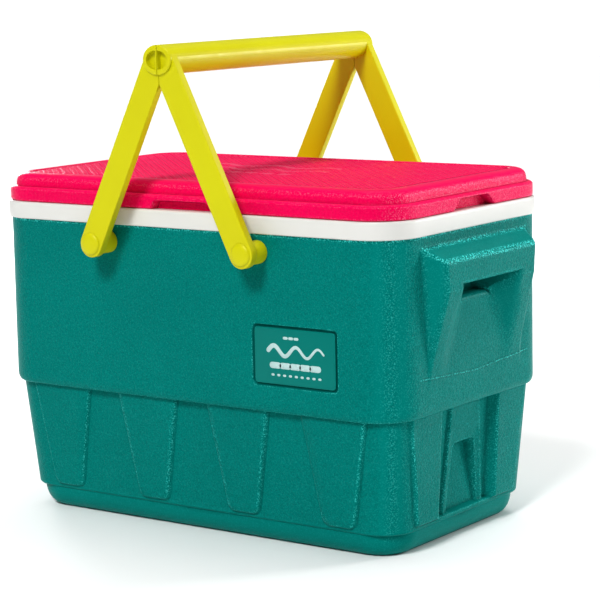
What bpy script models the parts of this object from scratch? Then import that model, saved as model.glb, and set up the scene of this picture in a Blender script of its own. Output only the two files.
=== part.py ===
"""Hard-sided picnic cooler chest with a lift-off lid and two swing-up bail handles.

Metres, +Z up. X runs along the long side, the origin is the centre of the footprint on the ground.
"""
import math

import bmesh
import bpy
from mathutils import Matrix, Vector

MM = 0.001
GAP = 0.3 * MM                 # clearance between neighbouring pieces
WALL = 3.5 * MM                # moulded wall of the shell
LINER_WALL = 2.8 * MM
CORNER_STEPS = 6               # segments in each rounded corner
ROUND_STEPS = 24               # segments in a full circle

# White rim, the widest ring of the chest
RIM_X, RIM_Y, RIM_R = 240 * MM, 141.4 * MM, 43 * MM
RIM_LOW, RIM_TOP = 297.6 * MM, 314.5 * MM
RIM_SKIRT = 2.9 * MM
LIP_TOP = 307 * MM             # the shell's neck inside the rim

# Upper body
BODY_X, BODY_Y, BODY_R = 237.8 * MM, 139.2 * MM, 41.5 * MM
BODY_LOW = 130.6 * MM
UNDERSIDE_R = 8 * MM           # rounding under the upper body

# Lower band: face of the raised teeth at its top and bottom, and the recessed face between them
BAND_TOP, BAND_LOW = 130.6 * MM, 23 * MM
TEETH_TOP_X, TEETH_TOP_Y = 233 * MM, 132.3 * MM
TEETH_LOW_X, TEETH_LOW_Y = 227.5 * MM, 125 * MM
TOOTH_RISE = 3.5 * MM
TEETH_BOTTOM = 27 * MM
BAND_TOP_R, BAND_LOW_R = 25 * MM, 32 * MM

# Foot
FOOT_X, FOOT_Y, FOOT_R = 205.9 * MM, 103.7 * MM, 22 * MM
FOOT_TOP_R = 38 * MM
FOOT_STEP = 2.2 * MM           # the foot is this much inside the band
FLOOR = 4 * MM

# Front and back teeth: middle of each pair, half-widths at the top and the bottom
TOOTH_MIDDLES = (54.6 * MM, 164.2 * MM)
TOOTH_TOP_HALF, TOOTH_LOW_HALF = 37 * MM, 18.2 * MM

# End faces below the step: two legs, and a small block with a finger pocket between them
LEG_INNER = 51.5 * MM
LEG_INNER_FOOT = 44.5 * MM
LEG_OUTER_TOP, LEG_OUTER_LOW = 104.5 * MM, 88.5 * MM
END_RECESS_DEPTH = 9 * MM      # floor of the grooves beside the block, below the legs' face
BLOCK_DEPTH = 6 * MM           # face of the block, below the legs' face
BLOCK_TOP_HALF, BLOCK_LOW_HALF = 26 * MM, 37 * MM
FOOT_POCKET_TOP, FOOT_POCKET_LOW = 92 * MM, 28 * MM
FOOT_POCKET_TOP_HALF, FOOT_POCKET_LOW_HALF = 17.5 * MM, 27.5 * MM
FOOT_POCKET_IN = 215 * MM

# End handles: a hood that stands out of the wall, open below, with a leg down each side
HOOD_CREST_Z, HOOD_CREST_HALF = 286.5 * MM, 93.5 * MM
HOOD_FACE_X, HOOD_FACE_Z, HOOD_FACE_HALF = 258 * MM, 275 * MM, 80.5 * MM
HOOD_LIP_Z = 252 * MM
HOOD_LIP_HALF = 50.5 * MM
HOOD_LEG_Z, HOOD_LEG_HALF = 168 * MM, 82 * MM
HAND_LOW_Z, HAND_LOW_HALF = 172 * MM, 57.5 * MM
HAND_SILL_Z, HAND_SILL_HALF = 231.5 * MM, 23 * MM
HAND_IN_X, HAND_ROOF_Z = 221 * MM, 258 * MM

# Badge: a plate in a shallow recess on the front
BADGE_X, BADGE_Z = 128.5 * MM, 185 * MM
BADGE_HALF_X, BADGE_HALF_Z, BADGE_R = 47.8 * MM, 28.9 * MM, 5 * MM
BADGE_DEPTH = 2.2 * MM
BADGE_GROOVE = 2.4 * MM        # gap around the plate
BADGE_THICK = 1.5 * MM

# Tub inside
TUB_TOP_X, TUB_TOP_Y, TUB_TOP_R = 212 * MM, 113.4 * MM, 30 * MM
TUB_LOW_X, TUB_LOW_Y, TUB_LOW_R = 196 * MM, 97 * MM, 24 * MM
TUB_FLOOR = 32 * MM
TUB_FILLET = 12 * MM

# Lid
LID_X, LID_Y, LID_R = 238.4 * MM, 139.8 * MM, 42 * MM
LID_LOW = RIM_TOP + GAP
LID_STEP_Z = 329 * MM          # top of the flange
LID_STEP_IN = 5.5 * MM         # the upper part is this much inside the flange
LID_TOP = 341.8 * MM
LID_TOP_IN = 11 * MM
LID_WALL = 3 * MM
LID_FLANGE_IN = 15 * MM        # width of the flange's solid edge
NOTCH_DEPTH = 9 * MM
FRONT_NOTCH_HALF, FRONT_NOTCH_TOP_HALF, FRONT_NOTCH_Z = 36 * MM, 31 * MM, 323.5 * MM
END_NOTCH_HALF, END_NOTCH_TOP_HALF, END_NOTCH_Z = 36.5 * MM, 24 * MM, 325.5 * MM
PLUG_X, PLUG_Y, PLUG_R = 208.5 * MM, 110 * MM, 27 * MM
PLUG_LOW = 301 * MM
PAN_TOP = 317.6 * MM
PAN_WALL = 2.4 * MM

# Bails
PIVOT_X, PIVOT_Z = 89.6 * MM, 281 * MM
ARM_OUT, ARM_IN = 166.2 * MM, 157.4 * MM
ARM_HALF = 13 * MM
ARM_LEAN = math.radians(26)
GRIP_Z, GRIP_HALF_X, GRIP_HALF_Z = 457.6 * MM, 16.5 * MM, 14 * MM
GRIP_END = 168.8 * MM
SOCKET_HALF_X, SOCKET_HALF_Z, SOCKET_DEPTH = 12.3 * MM, 8.75 * MM, 5 * MM

# Pivots
PIN_R, PIN_HEAD_R, PIN_DOME = 4.5 * MM, 10.8 * MM, 2.8 * MM
PIN_TIP_Y = 131 * MM
ARM_HOLE_R, FIXED_HOLE_R = 5.1 * MM, 4.8 * MM
BOSS_R = 11 * MM
RETAINER_R, RETAINER_THICK = 9 * MM, 2.5 * MM
FOAM_BORE_R, FOAM_BORE_Y = 11 * MM, 128 * MM


def clear_scene():
    for old in list(bpy.data.objects):
        bpy.data.objects.remove(old, do_unlink=True)


def collection(name, hidden=False):
    made = bpy.data.collections.new(name)
    made.hide_render = hidden
    bpy.context.scene.collection.children.link(made)
    return made


def material(name, colour, roughness, metallic=0.0):
    made = bpy.data.materials.new(name)
    made.use_nodes = True
    shader = made.node_tree.nodes["Principled BSDF"]
    shader.inputs["Base Color"].default_value = (*colour, 1.0)
    shader.inputs["Roughness"].default_value = roughness
    shader.inputs["Metallic"].default_value = metallic
    made.diffuse_color = (*colour, 1.0)
    return made


def finish_mesh(name, mesh_bm, home, surface=None):
    """Turn a bmesh into an object of this name in the collection home."""
    bmesh.ops.recalc_face_normals(mesh_bm, faces=mesh_bm.faces)
    mesh = bpy.data.meshes.new(name)
    mesh_bm.to_mesh(mesh)
    mesh_bm.free()
    made = bpy.data.objects.new(name, mesh)
    home.objects.link(made)
    if surface is not None:
        mesh.materials.append(surface)
    if home is CUTTERS:
        made.hide_render = True
        made.display_type = "WIRE"
    return made


def rounded_ring(half_x, half_y, radius):
    """Corner points of a rounded rectangle, counter-clockwise from the +X side."""
    points = []
    for quarter in range(4):
        side_x = 1 if quarter in (0, 3) else -1
        side_y = 1 if quarter in (0, 1) else -1
        centre = Vector((side_x * (half_x - radius), side_y * (half_y - radius)))
        for step in range(CORNER_STEPS + 1):
            angle = math.pi / 2 * (quarter + step / CORNER_STEPS)
            points.append(centre + radius * Vector((math.cos(angle), math.sin(angle))))
    return points


def loft(name, sections, home, surface=None):
    """Closed solid through rounded rectangles, each (z, half_x, half_y, radius), from low to high."""
    bm = bmesh.new()
    rings = []
    for z, half_x, half_y, radius in sections:
        ring = rounded_ring(half_x, half_y, radius)
        rings.append([bm.verts.new((point.x, point.y, z)) for point in ring])
    for low, high in zip(rings, rings[1:]):
        for i in range(len(low)):
            j = (i + 1) % len(low)
            bm.faces.new((low[i], low[j], high[j], high[i]))
    bm.faces.new(list(reversed(rings[0])))
    bm.faces.new(rings[-1])
    return finish_mesh(name, bm, home, surface)


def hull(name, points, home, surface=None):
    """Convex solid around the points."""
    bm = bmesh.new()
    for point in points:
        bm.verts.new(point)
    found = bmesh.ops.convex_hull(bm, input=bm.verts)
    loose = [item for item in found["geom_interior"] if isinstance(item, bmesh.types.BMVert)]
    bmesh.ops.delete(bm, geom=loose, context="VERTS")
    bmesh.ops.dissolve_limit(bm, angle_limit=math.radians(0.5), verts=bm.verts, edges=bm.edges)
    return finish_mesh(name, bm, home, surface)


def prism(name, outline, low_y, high_y, home, surface=None):
    """Straight solid along Y from an outline of (x, z) points."""
    bm = bmesh.new()
    face = bm.faces.new([bm.verts.new((x, low_y, z)) for x, z in outline])
    grown = bmesh.ops.extrude_face_region(bm, geom=[face])
    moved = [item for item in grown["geom"] if isinstance(item, bmesh.types.BMVert)]
    bmesh.ops.translate(bm, verts=moved, vec=(0, high_y - low_y, 0))
    return finish_mesh(name, bm, home, surface)


def disc_along_y(name, radius, x, z, low_y, high_y, home, surface=None):
    """Cylinder along Y."""
    bm = bmesh.new()
    place = Matrix.Translation((x, (low_y + high_y) / 2, z)) @ Matrix.Rotation(math.pi / 2, 4, "X")
    bmesh.ops.create_cone(
        bm, cap_ends=True, segments=ROUND_STEPS, radius1=radius, radius2=radius,
        depth=abs(high_y - low_y), matrix=place,
    )
    return finish_mesh(name, bm, home, surface)


def boolean(target, other, operation="DIFFERENCE"):
    modifier = target.modifiers.new(f"{operation.lower()}_{other.name}", "BOOLEAN")
    modifier.operation = operation
    modifier.object = other
    modifier.solver = "EXACT"


def smooth(obj, angle=35):
    obj.data.shade_smooth()
    obj.data.set_sharp_from_angle(angle=math.radians(angle))


def put_origin(obj, point):
    """Move the object's origin to the point and leave its shape where it is."""
    obj.data.transform(Matrix.Translation(-Vector(point)))
    obj.location = point


def both(*corners):
    """Each (x, half_y, z) corner on both sides of the middle plane."""
    return [(x, side * half_y, z) for x, half_y, z in corners for side in (-1, 1)]


def mirrored_x(points, side):
    return [(side * x, y, z) for x, y, z in points]


def blend(low, high, z, low_z=BAND_LOW, high_z=BAND_TOP):
    """Value at height z on the lower band's straight taper."""
    return low + (high - low) * (z - low_z) / (high_z - low_z)


def teeth_face_x(z):
    return blend(TEETH_LOW_X, TEETH_TOP_X, z)


def teeth_face_y(z):
    return blend(TEETH_LOW_Y, TEETH_TOP_Y, z)


def inset(section, amount):
    z, half_x, half_y, radius = section
    return (z, half_x - amount, half_y - amount, max(radius - amount, 4 * MM))


# Outer shell -----------------------------------------------------------------------------------

def foot_sections():
    """Rounded edge from the flat foot up to the band."""
    top_x = TEETH_LOW_X - TOOTH_RISE - FOOT_STEP
    top_y = TEETH_LOW_Y - TOOTH_RISE - FOOT_STEP
    sections = []
    for step in range(5):
        angle = math.pi / 2 * step / 4
        out = math.sin(angle)
        z = (BAND_LOW - MM) * (1 - math.cos(angle))
        sections.append((
            z,
            FOOT_X + (top_x - FOOT_X) * out,
            FOOT_Y + (top_y - FOOT_Y) * out,
            FOOT_R + (FOOT_TOP_R - FOOT_R) * out,
        ))
    return sections


def body_sections():
    """Outside of the shell without its teeth and handles."""
    low = (BAND_LOW, TEETH_LOW_X - TOOTH_RISE, TEETH_LOW_Y - TOOTH_RISE, BAND_LOW_R)
    high = (BAND_TOP, TEETH_TOP_X - TOOTH_RISE, TEETH_TOP_Y - TOOTH_RISE, BAND_TOP_R)
    sections = foot_sections() + [low, high]
    for step in range(4):
        angle = math.pi / 2 * step / 3
        in_by = UNDERSIDE_R * (1 - math.sin(angle)) * 0.8
        z = BODY_LOW + 0.1 * MM + UNDERSIDE_R * (1 - math.cos(angle))
        sections.append((z, BODY_X - in_by, BODY_Y - in_by, BODY_R - in_by / 2))
    sections.append((RIM_LOW - GAP, BODY_X, BODY_Y, BODY_R))
    neck = RIM_X - RIM_SKIRT - GAP
    in_by = BODY_X - neck
    sections.append((RIM_LOW - GAP, neck, BODY_Y - in_by, BODY_R - in_by))
    sections.append((LIP_TOP, neck, BODY_Y - in_by, BODY_R - in_by))
    return sections


def cavity_sections(clearance=0.0):
    """Inside of the shell; a clearance shrinks it for what fills it."""
    upper = inset((LIP_TOP, BODY_X, BODY_Y, BODY_R), WALL)
    lower_x, lower_y = 211 * MM, 117 * MM
    sections = [
        (FLOOR, 199 * MM, 97 * MM, 15 * MM),
        (BAND_LOW, lower_x, 113 * MM, 24 * MM),
        (BAND_TOP - 4 * MM, lower_x, lower_y, 24 * MM),
        (BAND_TOP + 12 * MM, *upper[1:]),
        (LIP_TOP + 2 * MM, *upper[1:]),
    ]
    shrunk = [inset(section, clearance) for section in sections]
    shrunk[0] = (FLOOR + clearance, *shrunk[0][1:])
    return shrunk


def tooth_points(middle, side_y):
    """Wedge that stands out of the front or back face of the band."""
    points = []
    for z, half in ((BAND_TOP - 0.6 * MM, TOOTH_TOP_HALF), (TEETH_BOTTOM, TOOTH_LOW_HALF)):
        face = teeth_face_y(z)
        for side in (-1, 1):
            points.append((middle + side * half, side_y * face, z))
            points.append((middle + side * (half + 2 * MM), side_y * (face - TOOTH_RISE - MM), z))
    return points


def leg_points(side_y):
    """Wedge that stands out of an end face of the band, beside the finger pocket."""
    points = []
    for z, outer in ((BAND_TOP - 0.6 * MM, LEG_OUTER_TOP), (TEETH_BOTTOM, LEG_OUTER_LOW)):
        face = teeth_face_x(z)
        back = face - TOOTH_RISE - 2 * MM
        points.append((face, side_y * outer, z))
        points.append((back, side_y * (outer + 2 * MM), z))
        points.append((face, side_y * LEG_INNER, z))
        points.append((back, side_y * (LEG_INNER - 2 * MM), z))
    return points


def end_recess_points():
    """Space between the legs, cut before the block is put back."""
    points = []
    for z in (BAND_TOP - 0.6 * MM, TEETH_BOTTOM):
        floor = teeth_face_x(z) - END_RECESS_DEPTH
        points += both((floor, LEG_INNER_FOOT, z), (floor + 40 * MM, LEG_INNER_FOOT + 30 * MM, z))
    return points


def block_points():
    points = []
    for z, half in ((BAND_TOP - 0.6 * MM, BLOCK_TOP_HALF), (TEETH_BOTTOM, BLOCK_LOW_HALF)):
        face = teeth_face_x(z) - BLOCK_DEPTH
        points += both((face, half, z), (face - 12 * MM, half + MM, z))
    return points


def foot_pocket_points():
    return both(
        (240 * MM, FOOT_POCKET_TOP_HALF + 4 * MM, FOOT_POCKET_TOP),
        (240 * MM, FOOT_POCKET_LOW_HALF + 4 * MM, FOOT_POCKET_LOW),
        (FOOT_POCKET_IN, FOOT_POCKET_TOP_HALF - 3 * MM, FOOT_POCKET_TOP - MM),
        (FOOT_POCKET_IN + 4 * MM, FOOT_POCKET_LOW_HALF - 2 * MM, FOOT_POCKET_LOW),
    )


def hood_points():
    inside = BODY_X - 4 * MM
    return both(
        (BODY_X, HOOD_CREST_HALF, HOOD_CREST_Z),
        (inside, HOOD_CREST_HALF + MM, HOOD_CREST_Z + 2 * MM),
        (HOOD_FACE_X, HOOD_FACE_HALF, HOOD_FACE_Z),
        (HOOD_FACE_X, HOOD_FACE_HALF - 2 * MM, HOOD_LIP_Z - 5 * MM),
        (BODY_X, HOOD_LEG_HALF, HOOD_LEG_Z),
        (inside, HOOD_LEG_HALF, HOOD_LEG_Z - 6 * MM),
    )


def hand_space_points():
    """Open space under the hood and between its legs."""
    wall = BODY_X + 0.2 * MM
    front = HOOD_FACE_X + 8 * MM
    return both(
        (front, HOOD_LIP_HALF + 1.5 * MM, HOOD_LIP_Z),
        (wall, HAND_SILL_HALF + 6 * MM, HOOD_LIP_Z),
        (wall, HAND_SILL_HALF + 6 * MM, HAND_SILL_Z - 6 * MM),
        (wall, HAND_LOW_HALF, HAND_LOW_Z),
        (front, HAND_LOW_HALF + 2 * MM, HAND_LOW_Z - 14 * MM),
    )


def hand_pocket_points(grow=0.0):
    """Pocket that goes in behind the hood, above the sill."""
    return both(
        (HOOD_FACE_X - 4.5 * MM, HOOD_LIP_HALF - MM + grow, HAND_ROOF_Z - 5 * MM + grow),
        (HOOD_FACE_X - 9 * MM, HOOD_LIP_HALF - 3 * MM + grow, HAND_ROOF_Z + grow),
        (HAND_IN_X - grow, 36 * MM + grow, HAND_ROOF_Z + grow),
        (HAND_IN_X - grow, HAND_SILL_HALF + grow, HAND_SILL_Z + 6 * MM - grow),
        (BODY_X + MM, HAND_SILL_HALF + 5 * MM + grow, HAND_SILL_Z - grow),
    )


def badge_outline(shrink=0.0):
    """Rounded rectangle in X and Z around the badge's middle."""
    ring = rounded_ring(BADGE_HALF_X - shrink, BADGE_HALF_Z - shrink, BADGE_R - shrink / 2)
    return [(BADGE_X + point.x, BADGE_Z + point.y) for point in ring]


def make_shell(surface):
    shell = loft("outer_shell", body_sections(), PARTS, surface)
    for side in (-1, 1):
        word = "right" if side > 0 else "left"
        recess = hull(f"cut_end_recess_{word}", mirrored_x(end_recess_points(), side), CUTTERS)
        boolean(shell, recess)
        block = hull(f"add_end_block_{word}", mirrored_x(block_points(), side), CUTTERS)
        boolean(shell, block, "UNION")
        hood = hull(f"add_hood_{word}", mirrored_x(hood_points(), side), CUTTERS)
        boolean(shell, hood, "UNION")
        for side_y in (-1, 1):
            leg = hull(f"add_leg_{word}_{side_y}", mirrored_x(leg_points(side_y), side), CUTTERS)
            boolean(shell, leg, "UNION")
    for side_y in (-1, 1):
        for number, middle in enumerate(TOOTH_MIDDLES):
            for side in (-1, 1):
                points = tooth_points(side * middle, side_y)
                tooth = hull(f"add_tooth_{side_y}_{number}_{side}", points, CUTTERS)
                boolean(shell, tooth, "UNION")
    boolean(shell, loft("cut_shell_cavity", cavity_sections(), CUTTERS))
    for side in (-1, 1):
        word = "right" if side > 0 else "left"
        pod = hull(f"add_pocket_wall_{word}", mirrored_x(hand_pocket_points(3 * MM), side), CUTTERS)
        boolean(shell, pod, "UNION")
    for side in (-1, 1):
        word = "right" if side > 0 else "left"
        space = hull(f"cut_hand_space_{word}", mirrored_x(hand_space_points(), side), CUTTERS)
        boolean(shell, space)
        pocket = hull(f"cut_hand_pocket_{word}", mirrored_x(hand_pocket_points(), side), CUTTERS)
        boolean(shell, pocket)
        small = hull(f"cut_foot_pocket_{word}", mirrored_x(foot_pocket_points(), side), CUTTERS)
        boolean(shell, small)
    recess = prism("cut_badge", badge_outline(), -BODY_Y - 5 * MM, -BODY_Y + BADGE_DEPTH, CUTTERS)
    boolean(shell, recess)
    for word, side_x, side_y in PIVOTS:
        hole = disc_along_y(
            f"cut_shell_hole_{word}", FIXED_HOLE_R, side_x * PIVOT_X, PIVOT_Z,
            side_y * (BODY_Y - 10 * MM), side_y * (BODY_Y + 10 * MM), CUTTERS,
        )
        boolean(shell, hole)
    smooth(shell)
    return shell


def make_badge(surface):
    out_y = -BODY_Y + BADGE_DEPTH - GAP
    plate = prism("badge_plate", badge_outline(BADGE_GROOVE), out_y - BADGE_THICK, out_y, PARTS, surface)
    smooth(plate)


# Liner and foam --------------------------------------------------------------------------------

def tub_sections(grow=0.0, floor_drop=0.0):
    """Inside of the tub, or its outside when grown by the wall."""
    slope = (TUB_TOP_X - TUB_LOW_X) / (RIM_TOP - TUB_FLOOR)
    return [
        (TUB_FLOOR - floor_drop, TUB_LOW_X - TUB_FILLET + grow, TUB_LOW_Y - TUB_FILLET + grow, 14 * MM + grow),
        (TUB_FLOOR - floor_drop + 4 * MM, TUB_LOW_X - 3 * MM + grow, TUB_LOW_Y - 3 * MM + grow, 21 * MM + grow),
        (TUB_FLOOR + TUB_FILLET, TUB_LOW_X + slope * TUB_FILLET + grow,
         TUB_LOW_Y + slope * TUB_FILLET + grow, TUB_LOW_R + grow),
        (RIM_TOP, TUB_TOP_X + grow, TUB_TOP_Y + grow, TUB_TOP_R + grow),
    ]


def make_liner(surface):
    """White tub with the rim that hooks over the shell's neck."""
    outside = tub_sections(LINER_WALL, LINER_WALL)[:3]
    under = RIM_TOP - LINER_WALL - MM
    slope = (TUB_TOP_X - TUB_LOW_X) / (RIM_TOP - TUB_FLOOR)
    drop = slope * (RIM_TOP - under)
    outside.append((under, TUB_TOP_X + LINER_WALL - drop, TUB_TOP_Y + LINER_WALL - drop, TUB_TOP_R + LINER_WALL))
    outside.append((under, RIM_X - 0.4 * MM, RIM_Y - 0.4 * MM, RIM_R - 0.4 * MM))
    outside.append((RIM_TOP - 1.2 * MM, RIM_X, RIM_Y, RIM_R))
    outside.append((RIM_TOP, RIM_X - 1.2 * MM, RIM_Y - 1.2 * MM, RIM_R - 1.2 * MM))
    liner = loft("inner_liner", outside, PARTS, surface)
    skirt = loft("add_rim_skirt", [
        (RIM_LOW, RIM_X - 0.8 * MM, RIM_Y - 0.8 * MM, RIM_R - 0.8 * MM),
        (RIM_LOW + 1.2 * MM, RIM_X, RIM_Y, RIM_R),
        (RIM_TOP - 1.2 * MM, RIM_X, RIM_Y, RIM_R),
    ], CUTTERS)
    channel_x, channel_y = RIM_X - RIM_SKIRT, RIM_Y - RIM_SKIRT
    channel = loft("cut_rim_channel", [
        (RIM_LOW - 5 * MM, channel_x, channel_y, RIM_R - RIM_SKIRT),
        (under, channel_x, channel_y, RIM_R - RIM_SKIRT),
    ], CUTTERS)
    boolean(skirt, channel)
    boolean(liner, skirt, "UNION")
    inside = tub_sections()
    inside.append((RIM_TOP + 5 * MM, *inside[-1][1:]))
    boolean(liner, loft("cut_tub", inside, CUTTERS))
    smooth(liner)


def make_foam(surface):
    """Insulation that fills the space between the shell and the liner."""
    outside = cavity_sections(GAP)
    outside[-1] = (RIM_TOP - LINER_WALL - MM - GAP, *outside[-1][1:])
    foam = loft("tub_insulation", outside, PARTS, surface)
    hollow = tub_sections(LINER_WALL + GAP, LINER_WALL + GAP)
    hollow.append((RIM_TOP + 5 * MM, *hollow[-1][1:]))
    boolean(foam, loft("cut_foam_hollow", hollow, CUTTERS))
    for side in (-1, 1):
        word = "right" if side > 0 else "left"
        pod = hull(f"cut_foam_pocket_{word}", mirrored_x(hand_pocket_points(3.3 * MM), side), CUTTERS)
        boolean(foam, pod)
    for word, side_x, side_y in PIVOTS:
        bore = disc_along_y(
            f"cut_foam_bore_{word}", FOAM_BORE_R, side_x * PIVOT_X, PIVOT_Z,
            side_y * FOAM_BORE_Y, side_y * (BODY_Y + 5 * MM), CUTTERS,
        )
        boolean(foam, bore)
    smooth(foam)


# Lid -------------------------------------------------------------------------------------------

def lid_sections():
    flange = (0.0, LID_X, LID_Y, LID_R)
    top_z = LID_TOP - LID_STEP_Z
    steps = [
        (LID_LOW, 1.0 * MM),
        (LID_LOW + 1.4 * MM, 0.0),
        (LID_STEP_Z - 3.2 * MM, 0.0),
        (LID_STEP_Z - 1.0 * MM, 1.2 * MM),
        (LID_STEP_Z, 3.4 * MM),
        (LID_STEP_Z + 0.1 * MM, LID_STEP_IN),
        (LID_STEP_Z + 0.45 * top_z, LID_STEP_IN + 0.6 * MM),
        (LID_STEP_Z + 0.78 * top_z, LID_STEP_IN + 2.6 * MM),
        (LID_TOP - 0.9 * MM, LID_TOP_IN - 3 * MM),
        (LID_TOP, LID_TOP_IN + 1.5 * MM),
    ]
    return [(z, *inset(flange, amount)[1:]) for z, amount in steps]


def lid_cavity_sections(clearance=0.0):
    flange = (0.0, LID_X, LID_Y, LID_R)
    steps = [
        (LID_LOW - 3 * MM, LID_FLANGE_IN),
        (LID_STEP_Z, LID_FLANGE_IN),
        (LID_TOP - LID_WALL - clearance, LID_FLANGE_IN + 2 * MM),
    ]
    return [(z, *inset(flange, amount + clearance)[1:]) for z, amount in steps]


def make_lid_cover(surface):
    cover = loft("lid_cover", lid_sections(), PARTS, surface)
    boolean(cover, loft("cut_lid_cavity", lid_cavity_sections(), CUTTERS))
    for side in (-1, 1):
        word = "right" if side > 0 else "left"
        inner, outer = LID_X - NOTCH_DEPTH, LID_X + 10 * MM
        points = both(
            (inner, END_NOTCH_HALF, LID_LOW - 3 * MM), (outer, END_NOTCH_HALF, LID_LOW - 3 * MM),
            (inner, END_NOTCH_TOP_HALF, END_NOTCH_Z), (outer, END_NOTCH_TOP_HALF, END_NOTCH_Z),
        )
        boolean(cover, hull(f"cut_end_notch_{word}", mirrored_x(points, side), CUTTERS))
        word = "back" if side > 0 else "front"
        inner, outer = LID_Y - NOTCH_DEPTH, LID_Y + 10 * MM
        points = []
        for half, z in ((FRONT_NOTCH_HALF, LID_LOW - 3 * MM), (FRONT_NOTCH_TOP_HALF, FRONT_NOTCH_Z)):
            points += [(end * half, side * y, z) for end in (-1, 1) for y in (inner, outer)]
        boolean(cover, hull(f"cut_side_notch_{word}", points, CUTTERS))
    smooth(cover)


def make_lid_pan(surface):
    """Tray under the lid, with a plug that goes down into the tub."""
    mouth = inset(lid_cavity_sections(GAP)[0], 0)
    pan = loft("lid_pan", [
        (PLUG_LOW, PLUG_X - 4 * MM, PLUG_Y - 4 * MM, PLUG_R - 4 * MM),
        (PLUG_LOW + 4 * MM, PLUG_X, PLUG_Y, PLUG_R),
        (LID_LOW, PLUG_X + MM, PLUG_Y + MM, PLUG_R + MM),
        (LID_LOW, *mouth[1:]),
        (PAN_TOP, *mouth[1:]),
    ], PARTS, surface)
    tray = loft("cut_pan_tray", [
        (PLUG_LOW + PAN_WALL, PLUG_X - PAN_WALL - 3 * MM, PLUG_Y - PAN_WALL - 3 * MM, PLUG_R - 6 * MM),
        (PLUG_LOW + PAN_WALL + 3 * MM, PLUG_X - PAN_WALL, PLUG_Y - PAN_WALL, PLUG_R - PAN_WALL),
        (PAN_TOP + 5 * MM, PLUG_X - PAN_WALL, PLUG_Y - PAN_WALL, PLUG_R - PAN_WALL),
    ], CUTTERS)
    boolean(pan, tray)
    smooth(pan)


def make_lid_foam(surface):
    plug = PAN_WALL + GAP
    wide = lid_cavity_sections(GAP)
    loft("lid_insulation", [
        (PLUG_LOW + plug, PLUG_X - plug - 3 * MM, PLUG_Y - plug - 3 * MM, PLUG_R - 6.3 * MM),
        (PLUG_LOW + plug + 3 * MM, PLUG_X - plug, PLUG_Y - plug, PLUG_R - plug),
        (PAN_TOP + GAP, PLUG_X - plug, PLUG_Y - plug, PLUG_R - plug),
        (PAN_TOP + GAP, *wide[0][1:]),
        (LID_STEP_Z, *wide[1][1:]),
        wide[2],
    ], PARTS, surface)


# Bails and pivots ------------------------------------------------------------------------------

def arm_outline(side):
    """Flat bar from the pivot up to the grip, cut off at the middle plane."""
    normal = Vector((math.cos(ARM_LEAN), math.sin(ARM_LEAN)))
    pivot = Vector((PIVOT_X, PIVOT_Z))
    start = math.atan2(-normal.y, -normal.x)
    points = []
    for step in range(13):
        angle = start + math.pi * step / 12
        points.append(pivot + ARM_HALF * Vector((math.cos(angle), math.sin(angle))))
    reach = math.hypot(GRIP_HALF_X * normal.x, GRIP_HALF_Z * normal.y)
    tangent_x = GRIP_HALF_X ** 2 * normal.x / reach
    tangent_z = GRIP_Z + GRIP_HALF_Z ** 2 * normal.y / reach
    points.append(Vector((tangent_x, tangent_z)))
    points.append(Vector((GAP / 2, tangent_z)))
    inner_offset = pivot.dot(normal) - ARM_HALF
    points.append(Vector((GAP / 2, (inner_offset - GAP / 2 * normal.x) / normal.y)))
    return [(side * point.x, point.y) for point in points]


def half_oval(side, half_x, half_z):
    """Half of an oval around the grip's axis, on one side of the middle plane."""
    points = []
    for step in range(13):
        angle = -math.pi / 2 + math.pi * step / 12
        x = GAP / 2 + (half_x - GAP / 2) * math.cos(angle)
        points.append((side * x, GRIP_Z + half_z * math.sin(angle)))
    return points


def make_bail(name, side, surface):
    bail = prism(name, half_oval(side, GRIP_HALF_X, GRIP_HALF_Z), -GRIP_END, GRIP_END, PARTS, surface)
    for side_y in (-1, 1):
        low, high = sorted((side_y * ARM_IN, side_y * ARM_OUT))
        arm = prism(f"add_arm_{name}_{side_y}", arm_outline(side), low, high, CUTTERS)
        boolean(bail, arm, "UNION")
    for side_y in (-1, 1):
        low, high = sorted((side_y * (GRIP_END - SOCKET_DEPTH), side_y * (GRIP_END + 5 * MM)))
        outline = half_oval(side, SOCKET_HALF_X, SOCKET_HALF_Z)
        socket = prism(f"cut_socket_{name}_{side_y}", [(x + side * MM, z) for x, z in outline], low, high, CUTTERS)
        boolean(bail, socket)
        hole = disc_along_y(
            f"cut_arm_hole_{name}_{side_y}", ARM_HOLE_R, side * PIVOT_X, PIVOT_Z,
            side_y * (ARM_IN - 5 * MM), side_y * (ARM_OUT + 5 * MM), CUTTERS,
        )
        boolean(bail, hole)
    put_origin(bail, (side * PIVOT_X, 0, PIVOT_Z))
    smooth(bail)


def make_pin(word, side_x, side_y, surface):
    """Domed head and shaft, turned about the pivot's axis."""
    profile = [(0.0, PIN_DOME)]
    for step in range(1, 5):
        angle = math.pi / 2 * step / 4
        profile.append((PIN_HEAD_R * math.sin(angle), PIN_DOME * math.cos(angle)))
    shaft_end = -(ARM_OUT + GAP - PIN_TIP_Y)
    profile += [(PIN_R, 0.0), (PIN_R, shaft_end), (0.0, shaft_end)]
    bm = bmesh.new()
    verts = [bm.verts.new((radius, 0.0, height)) for radius, height in profile]
    for first, second in zip(verts, verts[1:]):
        bm.edges.new((first, second))
    bmesh.ops.spin(
        bm, geom=bm.verts[:] + bm.edges[:], cent=(0, 0, 0), axis=(0, 0, 1),
        angle=2 * math.pi, steps=ROUND_STEPS, use_merge=True,
    )
    bmesh.ops.remove_doubles(bm, verts=bm.verts, dist=0.01 * MM)
    turn = Matrix.Rotation(-side_y * math.pi / 2, 4, "X")
    bmesh.ops.transform(bm, matrix=turn, verts=bm.verts)
    pin = finish_mesh(f"pivot_pin_{word}", bm, PARTS, surface)
    pin.location = (side_x * PIVOT_X, side_y * (ARM_OUT + GAP), PIVOT_Z)
    smooth(pin, 50)


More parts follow.
